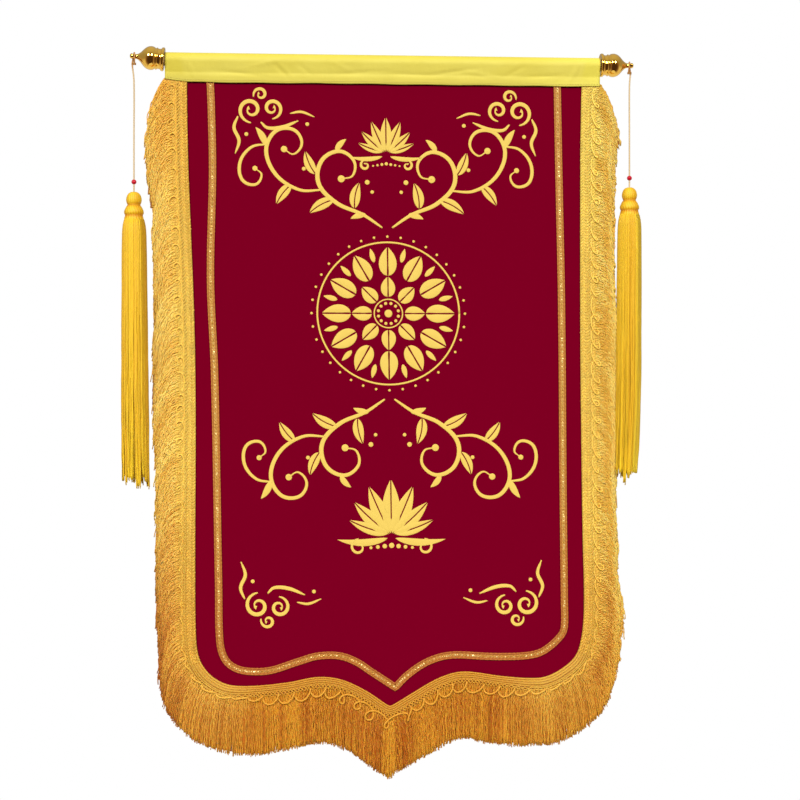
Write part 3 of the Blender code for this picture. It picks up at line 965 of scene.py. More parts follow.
@dataclass
class Hanging:
    """A tassel on its cord, looped round a finial's neck, with the bead on the cord."""

    side: Side
    string: Material
    red: Material
    silk: Material
    bead_radius: float = 3.1
    ragged: float = 6.0
    bunches: int = 14
    light: Colour = (0.82, 0.56, 0.016)
    # Painted highlight on the head's ridges
    ridge_highlight: Colour = (0.82, 0.63, 0.036)
    dark: Colour = (0.68, 0.37, 0.006)
    # The deepest painted shade, at the head's necks
    neck_shade: Colour = (0.46, 0.24, 0.004)
    binding: Colour = (0.6, 0.3, 0.006)
    whipping: Colour = (0.42, 0.22, 0.06)
    head: tuple[Turned, ...] = table(Turned, (
        (0, 0), (4.2, -0.7), (7.3, -3.6), (8.8, -8.2), (8.9, -11.4), (8.1, -14.4), (7.2, -16.2), (8.5, -17.8),
        (10.2, -21), (11.3, -24.2), (11.4, -26.4), (10.3, -28.8), (11.2, -32.5), (12, -40), (9, -60),
    ))
    rings: tuple[Ring, ...] = table(Ring, (
        (116, 9.2, 14.2, 15.6), (96, 8.6, 13.0, 14.4), (56, 6.4, 9.6, 10.6), (22, 3.0, 4.4, 5.0),
    ))

    def __post_init__(self) -> None:
        """Finds where the cord goes round the finial's neck, and where the tassel's top is."""
        tilt = math.radians(self.side.tilt)
        out = FINIAL_FACE + CORD_SEAT * math.cos(tilt)
        self.seat = Vector((self.side.sign * out, 0.0, CORD_SEAT * math.sin(tilt)))
        self.top = np.array((self.seat.x, 0.0, -self.side.head))

    def route(self) -> Array:
        """The cord's centre line, from its tail up over the neck and down to the tassel.

        Returns:
            Its points in metres.
        """
        sign = self.side.sign
        tilt = Euler((0.0, -sign * math.radians(self.side.tilt), 0.0)).to_matrix()
        loop = NECK_RADIUS + CLEAR + CORD_RADIUS
        rows = [(1.25, 0.0, -9.6), (1.2, 1.7, -6.6), (1.1, 3.4, -3.2)]
        for k in range(9):
            angle = math.pi * k / 8
            rows.append((1.0 - k / 4, loop * math.cos(angle), loop * math.sin(angle)))
        rows += [(-1.1, -3.4, -3.2), (-1.2, -1.7, -6.6), (-1.25, -0.1, -9.8)]
        points = [self.seat + tilt @ Vector((-sign * inward, -forward, up)) for inward, forward, up in rows]
        end = CLEAR - self.side.head
        points += [Vector((self.seat.x, 0.0, z)) for z in (-26.0, (end - 26.0) / 2.0, end)]
        return smooth_path(points, 6.0)[0] * MM

    def build_cord(self) -> None:
        """The thin cord, from its tail round the finial's neck and down to the tassel."""
        line = self.route()
        data = bpy.data.curves.new("tassel_cord_" + self.side.name, "CURVE")
        data.dimensions = "3D"
        data.bevel_depth = CORD_RADIUS * MM
        data.bevel_resolution = 4
        data.use_fill_caps = True
        spline = data.splines.new("POLY")
        spline.points.add(len(line) - 1)
        for target, point in zip(spline.points, line):
            target.co = (*point, 1.0)
        cord = dressed(linked(data.name, data), self.string, "cord_string", "cord_" + self.side.name)
        self.build_bead()
        self.build_whipping()

    def build_whipping(self) -> Object:
        """Makes the turns of thread that bind the cord's tail to it under the neck.

        Returns:
            The whipping.
        """
        turn = np.linspace(0.0, TURN * 4.0, 72)
        x, y, z = self.seat
        line = np.stack((x + 2.45 * np.cos(turn), y + 1.4 * np.sin(turn), z - 8.0 - turn * 0.11), axis=-1)
        shape = Shape()
        shape.threads(line[None] * MM, 0.32 * MM, 6, self.whipping)
        return dressed(shape.make("cord_whipping_" + self.side.name), self.silk, "cord_string")

    def build_bead(self) -> Object:
        """Makes the red bead, with its bore round the cord.

        Returns:
            The bead.
        """
        bore, radius = CORD_RADIUS + CLEAR, self.bead_radius
        reach = math.acos(bore / radius)
        outline = [Turned(bore, radius * math.sin(reach) * k) for k in np.linspace(-0.8, 0.8, 5)]
        outline += [Turned(*heading_at(angle) * radius) for angle in np.linspace(reach, -reach, 25)]
        points, faces = turned_shape([*outline, outline[0]], 0.6, 40)
        points += np.array((self.seat.x, 0.0, -self.side.bead))
        bead = object_of("cord_bead_" + self.side.name, points.reshape(-1, 3) * MM, [faces])
        return dressed(bead, self.red, "bead_red", "bead_" + self.side.name)

    def build_tassel(self) -> Object:
        """Makes the tassel: two wrapped balls, bound necks and a long skirt of yarn.

        Returns:
            The tassel.
        """
        shape = Shape()
        self._add_head(shape)
        self._add_skirt(shape)
        name = "silk_tassel_" + self.side.name
        return dressed(shape.make(name), self.silk, "tassel_silk", "tassel_" + self.side.name)

    def _add_head(self, shape: Shape) -> None:
        """Adds the wrapped balls and the turns that bind their necks.

        Args:
            shape: The tassel's shape.
        """
        points, faces = turned_shape(self.head, 1.5, 102)
        angle = np.arctan2(points[..., 1], points[..., 0])
        down = points[..., 2].copy()
        ridge = np.abs(np.sin(angle * 10.0 + 0.22 * down + 0.6 * np.sin(down * 0.3)))
        points[..., :2] *= (1.0 + 0.06 * ridge)[..., None]
        # Painted highlight on the ridges, painted shade in the grooves between them and at the two necks
        neck_shade = bell(down, -16.2, 2.0) + bell(down, -29.2, 2.0)
        points += self.top
        tone = 0.7 * ridge - 0.1 - neck_shade + 0.25 * np.sin(3.0 * angle + 1.0)
        dye = np.maximum(blend(self.dark, self.ridge_highlight, tone[..., None]), self.neck_shade)
        shape.add(points.reshape(-1, 3) * MM, [faces], dye.reshape(-1, 3))
        for radius, height in ((7.5, -15.5), (10.2, -28.3)):
            turn = np.linspace(0.0, TURN * 3.0, 90)
            fall = (height - turn * 0.1)[:, None]
            line = np.concatenate((heading_at(turn) * radius, fall), axis=1) + self.top
            shape.threads(line[None] * MM, 0.5 * MM, 5, self.binding)

    def _add_skirt(self, shape: Shape) -> None:
        """Adds the skirt's yarns, in rings from the outside in, which fall together in bunches.

        Args:
            shape: The tassel's shape.
        """
        side = self.side
        rng = np.random.default_rng(21 if side.sign < 0.0 else 22)
        t = np.concatenate((np.linspace(0.0, 0.07, 5)[:-1], np.linspace(0.07, 0.985, 14), (1.0,)))[None]
        ends = self.bunches + 1
        cuts = TURN * (np.arange(ends) + rng.uniform(-0.4, 0.4, ends)) / self.bunches - 0.3
        shift, tuft = rng.normal(0.0, 1.0, ends), rng.normal(0.0, 1.0, ends)
        for i, (count, neck, shoulder, low) in enumerate(self.rings):
            angle = TURN * (np.arange(count) + rng.uniform(-0.4, 0.4, count)) / count
            bunch = np.clip(np.searchsorted(cuts, angle), 1, self.bunches)
            centre = (cuts[bunch] + cuts[bunch - 1]) / 2.0
            length = side.skirt - 5.0 * i + self.ragged * (0.9 * shift[bunch] + rng.uniform(-0.5, 0.5, count))
            swell = 1.0 - np.exp(-t * 42.0)
            radius = neck + (shoulder - neck) * swell + (low * side.spread - shoulder) * t
            radius = (radius + rng.normal(0.0, 0.4, count)[:, None] * t) * (1.0 - side.taper * t**6)
            pull = (centre - angle)[:, None] * (0.14 * t**2 + 0.3 * t**8)
            turn = angle[:, None] + pull + rng.normal(0.0, 0.03, count)[:, None] * t
            wave = np.sin(TURN * (t * rng.uniform(2.0, 5.0, count)[:, None] + rng.random(count)[:, None]))
            lean = side.lean * t + 12.0 * side.taper * t**6
            x = radius * np.cos(turn) + wave * 0.5 * t - side.sign * lean
            y = radius * np.sin(turn) + wave * 0.5 * t
            line = np.stack((x, y, -29.5 - length[:, None] * t), axis=-1) + self.top
            # Inner rings deeper, as painted shade inside the skirt, and the tips paler, as painted light;
            # bunches and yarns differ at random
            tone = np.clip(0.55 - 0.35 * i + 0.34 * tuft[bunch] + rng.normal(0.0, 0.2, count), -0.5, 1.1)
            dye = blend(self.dark, self.light, tone[:, None, None] + 0.5 * (t**10)[..., None])
            thick = np.broadcast_to(np.where(t == 0.0, 0.4, 1.0 - 0.25 * t) * MM, x.shape)
            shape.threads(line * MM, thick, 3, dye)

    def build(self) -> None:
        """Makes the cord with its bead, and the tassel."""
        self.build_cord()
        self.build_tassel()


# The cloth


@dataclass
class Panel:
    """The velvet panel, down to its lobed and pointed hem, with the size and area that it is cut to."""

    velvet: Material
    edge: Path
    lap: float = 8.0
    columns: int = 64
    rows: int = 72
    flat: Pair = (0.0, 0.0)
    area: float = 0.0

    def _run(self, start: float, end: float, count: int) -> Array:
        """Even points along the lapped edge."""
        return self.edge.offset(np.linspace(start, end, count + 1), self.lap)

    def build(self) -> Object:
        """Makes the panel's sheet between its four edges, and measures it.

        Returns:
            The panel.
        """
        edge, half = self.edge, self.columns // 2
        left, point, right = (edge.where(place) for place in (LEFT_CORNER, POINT, RIGHT_CORNER))
        bottom = np.concatenate((self._run(left, point, half)[:-1], self._run(point, right, half)))
        west, east = self._run(left, 0.0, self.rows), self._run(right, edge.length, self.rows)
        top = np.linspace(west[-1], east[-1], 2 * half + 1)
        u = np.linspace(0.0, 1.0, 2 * half + 1)[:, None, None]
        v = np.linspace(0.0, 1.0, self.rows + 1)[None, :, None]
        flat = blend(bottom[:, None], top[:, None], v) + blend(west[None], east[None], u)
        flat -= blend(blend(bottom[0], bottom[-1], u), blend(top[0], top[-1], u), v)
        panel = object_of("velvet_panel", *thickened(surface(flat, 0.0), PANEL_THICK))
        rim = np.concatenate((bottom, east[1:], top[::-1][1:], west[::-1][1:])) * MM
        x, z = rim.T
        self.area = abs(float(np.sum(x * np.roll(z, -1) - z * np.roll(x, -1)))) / 2.0
        self.flat = tuple(float(size) for size in rim.max(axis=0) - rim.min(axis=0))
        LOG.info("panel is cut %.3f by %.3f m", *self.flat)
        return dressed(panel, self.velvet, "panel_velvet", "panel")


class Crease(NamedTuple):
    """A soft crease in the heading: its middle, its slant in degrees, its half length and its depth."""

    x: float
    z: float
    slant: float
    reach: float
    depth: float


CREASES = table(Crease, (
    (-129, -12, -42, 11, 1.1), (-121, -14, -50, 9, -0.9), (-98, -12, -40, 10, 0.8), (-176, -18, -6, 26, 0.8),
    (-148, -6, 12, 20, -0.5), (-30, -15, 4, 30, 0.7), (-52, -9, -24, 16, -0.5), (28, -16, -3, 26, 0.6),
    (84, -13, 8, 24, 0.9), (118, -15, -10, 22, -0.6), (163, -11, 28, 12, 0.6), (196, -17, 6, 22, 0.6),
    (236, -14, 62, 12, -0.8), (-239, -12, -62, 12, -0.8),
))


@dataclass
class Heading:
    """The satin sleeve round the rod, with how deep it hangs along its length and the size it is cut to."""

    satin: Material
    thread: Material
    thick: float = 1.0
    pinch: float = -17.0
    columns: int = 216
    drops: tuple[Pair, ...] = (
        (-269.0, 25.5), (-256.0, 27.5), (-242.0, 29.0), (-120.0, 29.3),
        (0.0, 28.8), (120.0, 29.2), (244.0, 28.6), (269.0, 28.8),
    )
    stitch: Colour = (0.6, 0.5, 0.1)
    flat: Pair = (0.0, 0.0)

    def section(self, depth: float) -> Array:
        """The sleeve's middle line as y and z.

        Args:
            depth: How far its lower edge hangs under the datum.

        Returns:
            Its points, from the front's lower edge over the rod to the back's lower edge.
        """
        radius = ROD_RADIUS + CLEAR + self.thick / 2.0
        back = ON_VELVET + self.thick / 2.0
        front = back + HEADER_THICK + CLEAR
        low, fold = DATUM - depth, DATUM + self.pinch
        turns = [math.acos(radius / math.hypot(y, fold)) for y in (-front, back)]
        first = math.atan2(fold, -front) - turns[0]
        sweep = (math.atan2(fold, back) + turns[1] - first) % TURN - TURN
        y, z = math.cos(first) * radius, math.sin(first) * radius
        fall = [(-front, low + (fold - low) * k / 9) for k in range(9)]
        lean = [(-front + (y + front) * k / 9, fold + (z - fold) * k / 9) for k in range(9)]
        over = heading_at(first + sweep * np.arange(25) / 24) * radius
        rear = [(back, fold + (low - fold) * k / 2) for k in range(3)]
        return np.concatenate((fall, lean, over, rear))

    def relief(self, x: Array, z: Array) -> Array:
        """How far the front stands out: its hemmed ends, slow waves and creases.

        Args:
            x: How far right the points are.
            z: Their heights from the datum.

        Returns:
            The distance forward of each point.
        """
        sewn = ramp(z, -28.5, 5.0)
        waves = 0.5 + 0.3 * np.sin(x * 0.083 + 2.0) + 0.2 * np.sin(x * 0.19 + 1.4 * np.sin(x * 0.047))
        out = 0.9 * waves * ramp(z, -25.0, 10.0) * ramp(z, 2.0, -14.0)
        for crease in CREASES:
            way = heading_at(math.radians(crease.slant))
            along = (x - crease.x) * way[0] + (z - crease.z) * way[1]
            off = (z - crease.z) * way[0] - (x - crease.x) * way[1]
            out = out - crease.depth * bell(along, 0.0, crease.reach) * bell(off, 0.0, 2.2) * sewn
        return out + 0.6 * (ramp(np.abs(x), 244.0, 3.0) + ramp(z, -24.6, -0.8) * 0.4)

    def build(self) -> Object:
        """Makes the sleeve and its stitches, and measures the sleeve.

        Returns:
            The sleeve.
        """
        x = np.linspace(self.drops[0][0], self.drops[-1][0], self.columns + 1)
        depth = np.interp(x, *np.array(self.drops).T)
        depth = depth + 0.25 * np.sin(x * 0.09) + 0.2 * np.sin(x * 0.031 + 1.0)
        sections = np.stack([self.section(float(d)) for d in depth])
        wide = np.broadcast_to(x[:, None, None], (*sections.shape[:2], 1))
        points = np.concatenate((wide, sections), axis=2)
        before = ramp(points[..., 1], 0.0, -3.0)
        points[..., 1] -= before * self.relief(points[..., 0], points[..., 2] - DATUM)
        sleeve = object_of("satin_heading", *thickened(points * MM, self.thick))
        self.flat = (float(x[-1] - x[0]) * MM, float(distances(sections[self.columns // 2])[-1]) * MM)
        LOG.info("heading is cut %.3f by %.3f m", *self.flat)
        self._stitch(x, depth)
        return dressed(sleeve, self.satin, "heading_satin", "heading")

    def _stitch(self, x: Array, depth: Array) -> None:
        """Makes the row of stitches along the front's lower edge.

        Args:
            x: The sleeve's places along the rod.
            depth: How deep it hangs at each.
        """
        starts = np.arange(x[0] + 3.0, x[-1] - 4.0, 3.4)
        t = np.linspace(0.0, 1.0, 5)
        across = starts[:, None] + t * 2.3
        z = 2.6 - np.interp(across, x, depth)
        out = 3.35 + self.thick / 2.0 + self.relief(across, z) + 0.14 * np.sin(math.pi * t)
        shape = Shape()
        shape.threads(np.stack((across, -out, z + DATUM), axis=-1) * MM, 0.16 * MM, 4, self.stitch)
        dressed(shape.make("heading_stitches"), self.thread, "heading_satin")


@dataclass
class Tape:
    """The border tape: a narrow braid with two corded edges and a row of tiny sequins."""

    braid: Material
    sequin: Material
    width: float = 9.0
    thick: float = 1.0
    middle: Colour = (0.66, 0.41, 0.07)
    brown: Colour = (0.34, 0.12, 0.015)
    rim: Colour = (0.4, 0.14, 0.018)
    rim_pale: Colour = (0.56, 0.24, 0.036)
    dull: Colour = (0.44, 0.22, 0.03)
    bright: Colour = (1.0, 0.82, 0.36)

    def hem_deepening(self, flat: Array) -> Array:
        """The factors on the braid's colour at these points, which deepen it along the hem."""
        return 1.0 - np.array((0.12, 0.3, 0.42)) * ramp(flat[..., 1], -560.0, -150.0)[..., None]

    def build(self) -> list[Object]:
        """Makes the braid and its sequins, one piece each.

        Returns:
            The braid and the sequins.
        """
        left, right = smooth_path(TAPE_LEFT, 1.5)[0], smooth_path(TAPE_RIGHT, 1.5)[0]
        middle = np.concatenate((left, right[1:]))
        line = Path(middle, np.arange(len(middle), dtype=float))
        far = np.linspace(0.0, line.length, 1100)
        across = np.linspace(self.width / 2.0 - 0.3, -self.width / 2.0 + 0.3, 7)
        flat = np.stack([line.offset(far, out) for out in across], axis=1)
        turn = far[:, None] * 2.2 - np.abs(across) * 1.8
        points = surface(flat, ON_VELVET + self.thick / 2.0 + 0.12 * np.cos(turn))
        inner = (np.abs(across) < 2.5)[None, :, None]
        light = np.where(inner, self.middle, self.rim)
        # Light where the braid stands forward and brown in its dips: the chevron pattern, partly painted
        # shade in the dips
        dye = blend(self.brown, light, (0.5 + 0.5 * np.cos(turn))[..., None]) * self.hem_deepening(flat)
        dye = dye.reshape(-1, 3)
        shape = Shape()
        shape.add(*thickened(points, self.thick - 0.3, FORWARD), np.concatenate((dye, dye * 0.7)))
        steps = np.linspace(0.0, line.length, 900)
        dye = blend(self.rim, self.rim_pale, (0.5 + 0.5 * np.sin(steps * 1.9))[None, :, None])
        dye = dye * self.hem_deepening(line.offset(steps, 0.0))
        for out in (-self.width / 2.0 + 0.8, self.width / 2.0 - 0.8):
            edge = surface(line.offset(steps, out), ON_VELVET + self.thick + 0.1)
            shape.threads(edge[None], 0.85 * MM, 6, dye, 0.2)
        braid = dressed(shape.make("tape_braid"), self.braid, "tape_braid", "border_tape")
        return [braid, self._sequins(line, ON_VELVET + self.thick + 0.25)]

    def _sequins(self, line: Path, front: float) -> Object:
        """The row of sequins down the tape's middle, each tipped its own way.

        Args:
            line: The tape's middle.
            front: How far they lie before the middle of the velvet.

        Returns:
            The sequins.
        """
        rng = np.random.default_rng(3)
        far = np.arange(4.0, line.length - 3.0, 2.7)
        far = far + rng.normal(0.0, 0.25, len(far))
        count, sides = len(far), 6
        middle = surface(line.offset(far, rng.normal(0.0, 0.35, count)), front)
        flat = heading_at(around(sides)) * rng.uniform(0.7, 1.15, count)[:, None, None] * MM
        tilt = rng.normal(0.0, 0.3, (count, 2))
        tipped = (flat * tilt[:, None]).sum(axis=-1)
        rim = np.stack((flat[..., 0], tipped, flat[..., 1]), axis=-1) + middle[:, None]
        lift = FORWARD * 0.18 * MM
        points = np.concatenate((rim + lift, rim, (middle + lift * 2.2)[:, None]), axis=1)
        base = (np.arange(count) * (2 * sides + 1))[:, None]
        k = np.arange(sides)
        after = (k + 1) % sides
        top = np.stack([base + k, base + after, base + np.full(sides, 2 * sides)], axis=-1)
        wall = np.stack([base + k, base + k + sides, base + after + sides, base + after], axis=-1)
        under = base + k[::-1] + sides
        # Mostly dull, with a few bright at random: the bright ones are painted glints
        dye = blend(self.dull, self.bright, rng.uniform(0.0, 1.0, count)[:, None] ** 2.2)
        shape = Shape()
        faces = [top.reshape(-1, 3), wall.reshape(-1, 4), under]
        shape.add(points.reshape(-1, 3), faces, np.repeat(dye, 2 * sides + 1, axis=0))
        return dressed(shape.make("tape_sequins"), self.sequin, "tape_braid")


# The fringe


class Layer(NamedTuple):
    """A layer of the fringe's yarn: where it is rooted, how it lies, how finely it is drawn, and its tone,
    deeper for the back layers as painted shade.
    """

    root: float
    lift: float
    spacing: float
    radius: float
    sides: int
    short: float
    tone: float


# The back layers' tones are deeper: painted shade where the front layers cover them
LAYERS = table(Layer, (
    (23.5, -1.4, 1.5, 1.7, 4, 1.8, 0.38),
    (22.5, -0.6, 2.3, 0.98, 3, 0.4, 0.4),
    (18.0, 0.0, 2.3, 0.98, 3, 0.4, 0.5),
    (13.5, 0.7, 2.4, 0.95, 3, 1.5, 0.62),
))


class Trim(NamedTuple):
    """A place along the hem where the yarn is a little longer or shorter."""

    x: float
    reach: float
    more: float


TRIMS = table(Trim, (
    (-175, 25, 1.2), (-95, 45, -3), (-40, 12, -2.2), (5.5, 4, 3),
    (17, 7, -4), (36, 18, -2.5), (94, 24, -3), (222, 24, 3),
))


class Stretch(NamedTuple):
    """A stretch of the fringe: how its yarn gathers, curls and mingles, and how its colour differs.

    Its middle is deeper by the dip, its tips paler by the tips, and its upper part deeper by the amber.
    """

    name: str
    lock: Pair
    turns: Pair
    curl: float
    mingle: float
    dip: float
    tips: float
    amber: float
    steps: int
    seed: int


STRETCHES = (
    Stretch("fringe_yarn_left", (3.0, 6.0), (4.0, 6.0), 1.0, 0.35, 0.14, -0.6, 0.45, 25, 31),
    Stretch("fringe_yarn_hem", (2.5, 6.0), (3.5, 5.5), 0.8, 0.12, 0.0, 0.0, 0.0, 22, 32),
    Stretch("fringe_yarn_right", (3.0, 6.0), (5.0, 7.5), 1.5, 0.5, 0.75, 0.3, 0.1, 25, 33),
)


@dataclass(frozen=True)
class Shades:
    """A tone of the fringe's colour, on the pale sides and at the darker hem."""

    side: Colour
    hem: Colour

    def at(self, low: Array) -> Array:
        """The tone where the fringe is this much of the hem's colour, from 0 to 1."""
        return blend(self.side, self.hem, low[..., None])


@dataclass
class Fringe:
    """The fringe: a corded header sewn over the panel's edge, its looped cords and its hanging yarn."""

    header_yarn: Material
    header_braid: Material
    loose_yarn: Material
    edge: Path
    lock: float = 60.5
    pitch: float = 19.6
    stitch: float = 3.7
    light: Shades = Shades(side=(0.85, 0.63, 0.135), hem=(0.71, 0.34, 0.02))
    dark: Shades = Shades(side=(0.73, 0.42, 0.05), hem=(0.44, 0.122, 0.002))
    braid: Shades = Shades(side=(0.66, 0.45, 0.066), hem=(0.47, 0.21, 0.012))
    ground: Shades = Shades(side=(0.5, 0.29, 0.035), hem=(0.32, 0.11, 0.005))
    bright: Shades = Shades(side=(0.74, 0.515, 0.085), hem=(0.6, 0.29, 0.02))
    tint_shift: Colour = (0.03, 0.14, 0.28)
    # Painted shade for the back layer's tips along the sides' outline
    edge_shade: Colour = (0.5, 0.2, 0.06)

    def __post_init__(self) -> None:
        """Reads the edge's table, and finds how its sides, corners and colours go along it."""
        edge = self.edge
        x, z = edge.points.T
        self.front = ON_VELVET + HEADER_THICK
        rows = np.arange(len(EDGE))
        self.header = np.interp(edge.places, rows, [row.header for row in EDGE])
        self.lean = np.radians(np.interp(edge.places, rows, [row.lean for row in EDGE]))
        self.rim = edge.moved(self.header)
        left, right = edge.where(LEFT_CORNER), edge.where(RIGHT_CORNER)
        self.side = eased(ramp(np.maximum(left - edge.far, edge.far - right), -20.0, 60.0))
        near = np.minimum(np.abs(edge.places - LEFT_CORNER + 0.5), np.abs(edge.places - RIGHT_CORNER + 0.5))
        self.corner = eased(ramp(near, 4.0, -2.0))
        aside = np.clip(x / 200.0, -1.0, 1.0)
        self.sideways_tint = aside * ramp(z, -300.0, 200.0)
        self.deep = eased(ramp(z, -520.0 - 40.0 * aside, -202.0 + 17.0 * aside))
        self.low = self.deep * (1.0 - 0.42 * self.corner)
        under = np.flatnonzero(z < -23.0)
        self.ends = (under[0], under[-1])

    def wander(self, rng: np.random.Generator, far: Array, scale: float) -> Array:
        """Smooth noise of about 1 along the edge, with one swing to about this many millimetres."""
        knots = np.arange(-20.0, self.rim.length + 20.0 + scale, scale)
        return np.interp(far, knots, rng.normal(0.0, 1.0, len(knots)))

    def shade(self, shades: Shades, path: Path, far: Array) -> Array:
        """The tone's colour along a path, paler at the top right and deeper at the top left."""
        return shades.at(path.read(self.low, far)) * (1.0 + path.read(self.sideways_tint, far)[:, None] * self.tint_shift)

    def tucked(self, flat: Array, lift: Array | float) -> Array:
        """Points of the fringe, this far before the header, and tucked in under the heading."""
        room = 0.1 + 5.0 * ramp(flat[..., 1], -29.0, -5.0)
        return surface(flat, self.front + np.minimum(lift, room))

    def build_header(self) -> list[Object]:
        """The header: a woven ground, with cords along its inner part where it goes round the hem.

        Returns:
            The ground and the cords.
        """
        edge = self.edge
        far = np.linspace(0.0, edge.length, 800)
        width = edge.read(self.header, far) / HEADER_WIDTH
        flat = np.stack([edge.offset(far, out * width) for out in (25.0, 15.2, 14.4, 9.2, 8.6, 0.2)], axis=1)
        side = edge.read(self.side, far)[:, None]
        points = self.tucked(flat, 0.7 * side - HEADER_THICK / 2.0)
        pale, deep = self.shade(self.braid, edge, far), self.shade(self.ground, edge, far)
        deep = blend(deep, pale, side)
        dye = np.stack((pale, pale, deep, deep, pale, pale), axis=1).reshape(-1, 3)
        ground = Shape()
        ground.add(*thickened(points, HEADER_THICK - 0.1, FORWARD), np.concatenate((dye, dye)))
        cords = Shape()
        corners = edge.where(LEFT_CORNER - 1), edge.where(RIGHT_CORNER + 1)
        steps = np.linspace(*corners, 420)
        dye = self.shade(self.bright, edge, steps)
        wide = 1.0 + 0.25 * edge.read(self.corner, steps)
        for i, out in enumerate((1.1, 3.6, 6.1, 8.6)):
            line = surface(edge.offset(steps, out * wide), self.front + 0.3)
            cords.threads(line[None], 1.0 * MM, 6, dye[None] * (1.0 - 0.04 * i), 0.1)
        rng = np.random.default_rng(7)
        for start, end in ((0.0, corners[0] + 8.0), (corners[1] - 8.0, edge.length)):
            for i in range(5):
                slant = 1.0 - 2.0 * (i % 2)
                self._stitch(cords, rng, np.arange(start, end, self.stitch), 2.1 + 3.7 * i, slant)
        return [
            dressed(ground.make("fringe_header"), self.header_braid, "fringe_yarn", "fringe"),
            dressed(cords.make("fringe_header_cords"), self.header_yarn, "fringe_yarn"),
        ]

    def _stitch(self, shape: Shape, rng: np.random.Generator, far: Array, out: float, slant: float) -> None:
        """Adds a column of slanted chain stitches down the header.

        Args:
            shape: The cords' shape.
            rng: Its small differences.
            far: The stitches' places along the edge.
            out: The column's distance from the velvet.
            slant: 1 where the stitches lean outwards as they go, and -1 where they lean inwards.
        """
        count = len(far)
        t = np.linspace(-1.0, 1.0, 4)[None]
        along = far[:, None] + rng.normal(0.0, 0.2, count)[:, None] + t * self.stitch * 0.5
        flat = self.edge.offset(along, out + slant * t * 1.2 + rng.normal(0.0, 0.25, count)[:, None])
        points = self.tucked(flat, 0.1 + 0.2 * (1.0 - t * t))
        tone = 0.97 + rng.normal(0.0, 0.08, count) + 0.06 * self.wander(rng, far, 15.0)
        dye = self.shade(self.bright, self.edge, far) * tone[:, None]
        shape.threads(points, (1.15 + 0.15 * (1.0 - t * t)) * MM, 4, dye)

    def build_loops(self) -> Object:
        """Makes the chain of two waved cords, and the looped cord that hangs over the yarn.

        Returns:
            The cords.
        """
        rng = np.random.default_rng(8)
        shape = Shape()
        self._wave(shape, rng)
        self._loop(shape, rng)
        return dressed(shape.make("fringe_loops"), self.header_yarn, "gimp_yarn", "fringe_scallops")

    def _wave(self, shape: Shape, rng: np.random.Generator) -> None:
        """Adds the two waved cords, which run plain round the corners.

        Args:
            shape: The cords' shape.
            rng: Their small differences.
        """
        line = self.edge.moved(11.6)
        far = np.linspace(line.far[self.ends[0]] - 5.0, line.far[self.ends[1]] + 5.0, 1700)
        phase = TURN * far / self.pitch * 2.3
        side, plain = line.read(self.side, far), line.read(self.corner, far)
        for sign in (-1.0, 1.0):
            swing = (2.1 - 0.5 * side) * np.sin(phase) * (1.0 - plain) + 1.3 * plain
            flat = line.offset(far, sign * swing + 0.3 * self.wander(rng, far, 12.0) + 2.2 * plain)
            waved = self.tucked(flat, 1.1 + 0.5 * sign * np.cos(phase) * (1.0 - plain))
            dye = self.shade(self.bright, line, far) * (0.96 - 0.06 * side)[:, None]
            shape.threads(waved[None], (0.85 - 0.15 * side) * MM, 5, dye[None], 0.2)

    def _loop(self, shape: Shape, rng: np.random.Generator) -> None:
        """Adds the looped cord, whose loops are round along the sides and near the point.

        Args:
            shape: The cords' shape.
            rng: Their small differences.
        """
        line = self.edge.moved(13.0)
        far = np.linspace(line.far[self.ends[0]] + 14.0, line.far[self.ends[1]] - 14.0, 2500)
        side, corner = line.read(self.side, far), line.read(self.corner, far)
        middle = line.read(line.points, far)
        x = middle[:, 0]
        calm = ramp(np.abs(x + 177.0), 30.0, -30.0) * (1.0 - side)
        size = (1.0 + (0.1 + 0.12 * side) * self.wander(rng, far, self.pitch)) * (1.0 - 0.85 * calm)
        size = size * (1.0 - 0.3 * side) * (1.0 - 0.7 * corner)
        way = unit(line.read(line.out, far))
        hang = unit(way * (1.0 - 0.35 * side)[:, None] + np.array((0.0, -0.35)) * side[:, None])
        phase = TURN * far / self.pitch
        turn = phase + self.wander(rng, far, self.pitch) * (0.15 + 0.35 * side)
        rounded = np.maximum(ramp(np.abs(x + 14.0), 42.0, -10.0) * (1.0 - side), side)
        reach = (5.6 + 1.8 * rounded) * size * (1.0 + np.cos(turn)) + 2.4 * corner + 0.8 * side
        slide = (12.8 * rounded - 3.4) * size * np.sin(turn) + 1.6 * (1.0 - rounded) * np.cos(turn)
        slide = slide + self.wander(rng, far, 23.0) * (0.6 + 2.4 * side)
        flat = middle + hang * reach[:, None] - leftward(way) * slide[:, None]
        lift = 2.7 - 1.3 * np.maximum(side, corner) + 1.0 * np.sin(phase) + 0.5 * np.cos(phase)
        dye = self.shade(self.bright, line, far) * (1.1 + 0.08 * side)[:, None]
        shape.threads(self.tucked(flat, lift)[None], (1.2 - 0.35 * side) * MM, 6, dye[None], 0.2)

    def build_yarn(self, stretch: Stretch, first: float, last: float) -> Object:
        """Hangs the yarn along one stretch of the edge.

        Args:
            stretch: How the yarn is there.
            first: Where the stretch starts along the rim.
            last: Where it ends.

        Returns:
            The yarn.
        """
        rng = np.random.default_rng(stretch.seed)
        shape = Shape()
        for layer in LAYERS:
            self._hang(shape, rng, layer, stretch, first, last)
        return dressed(shape.make(stretch.name), self.loose_yarn, "fringe_yarn")

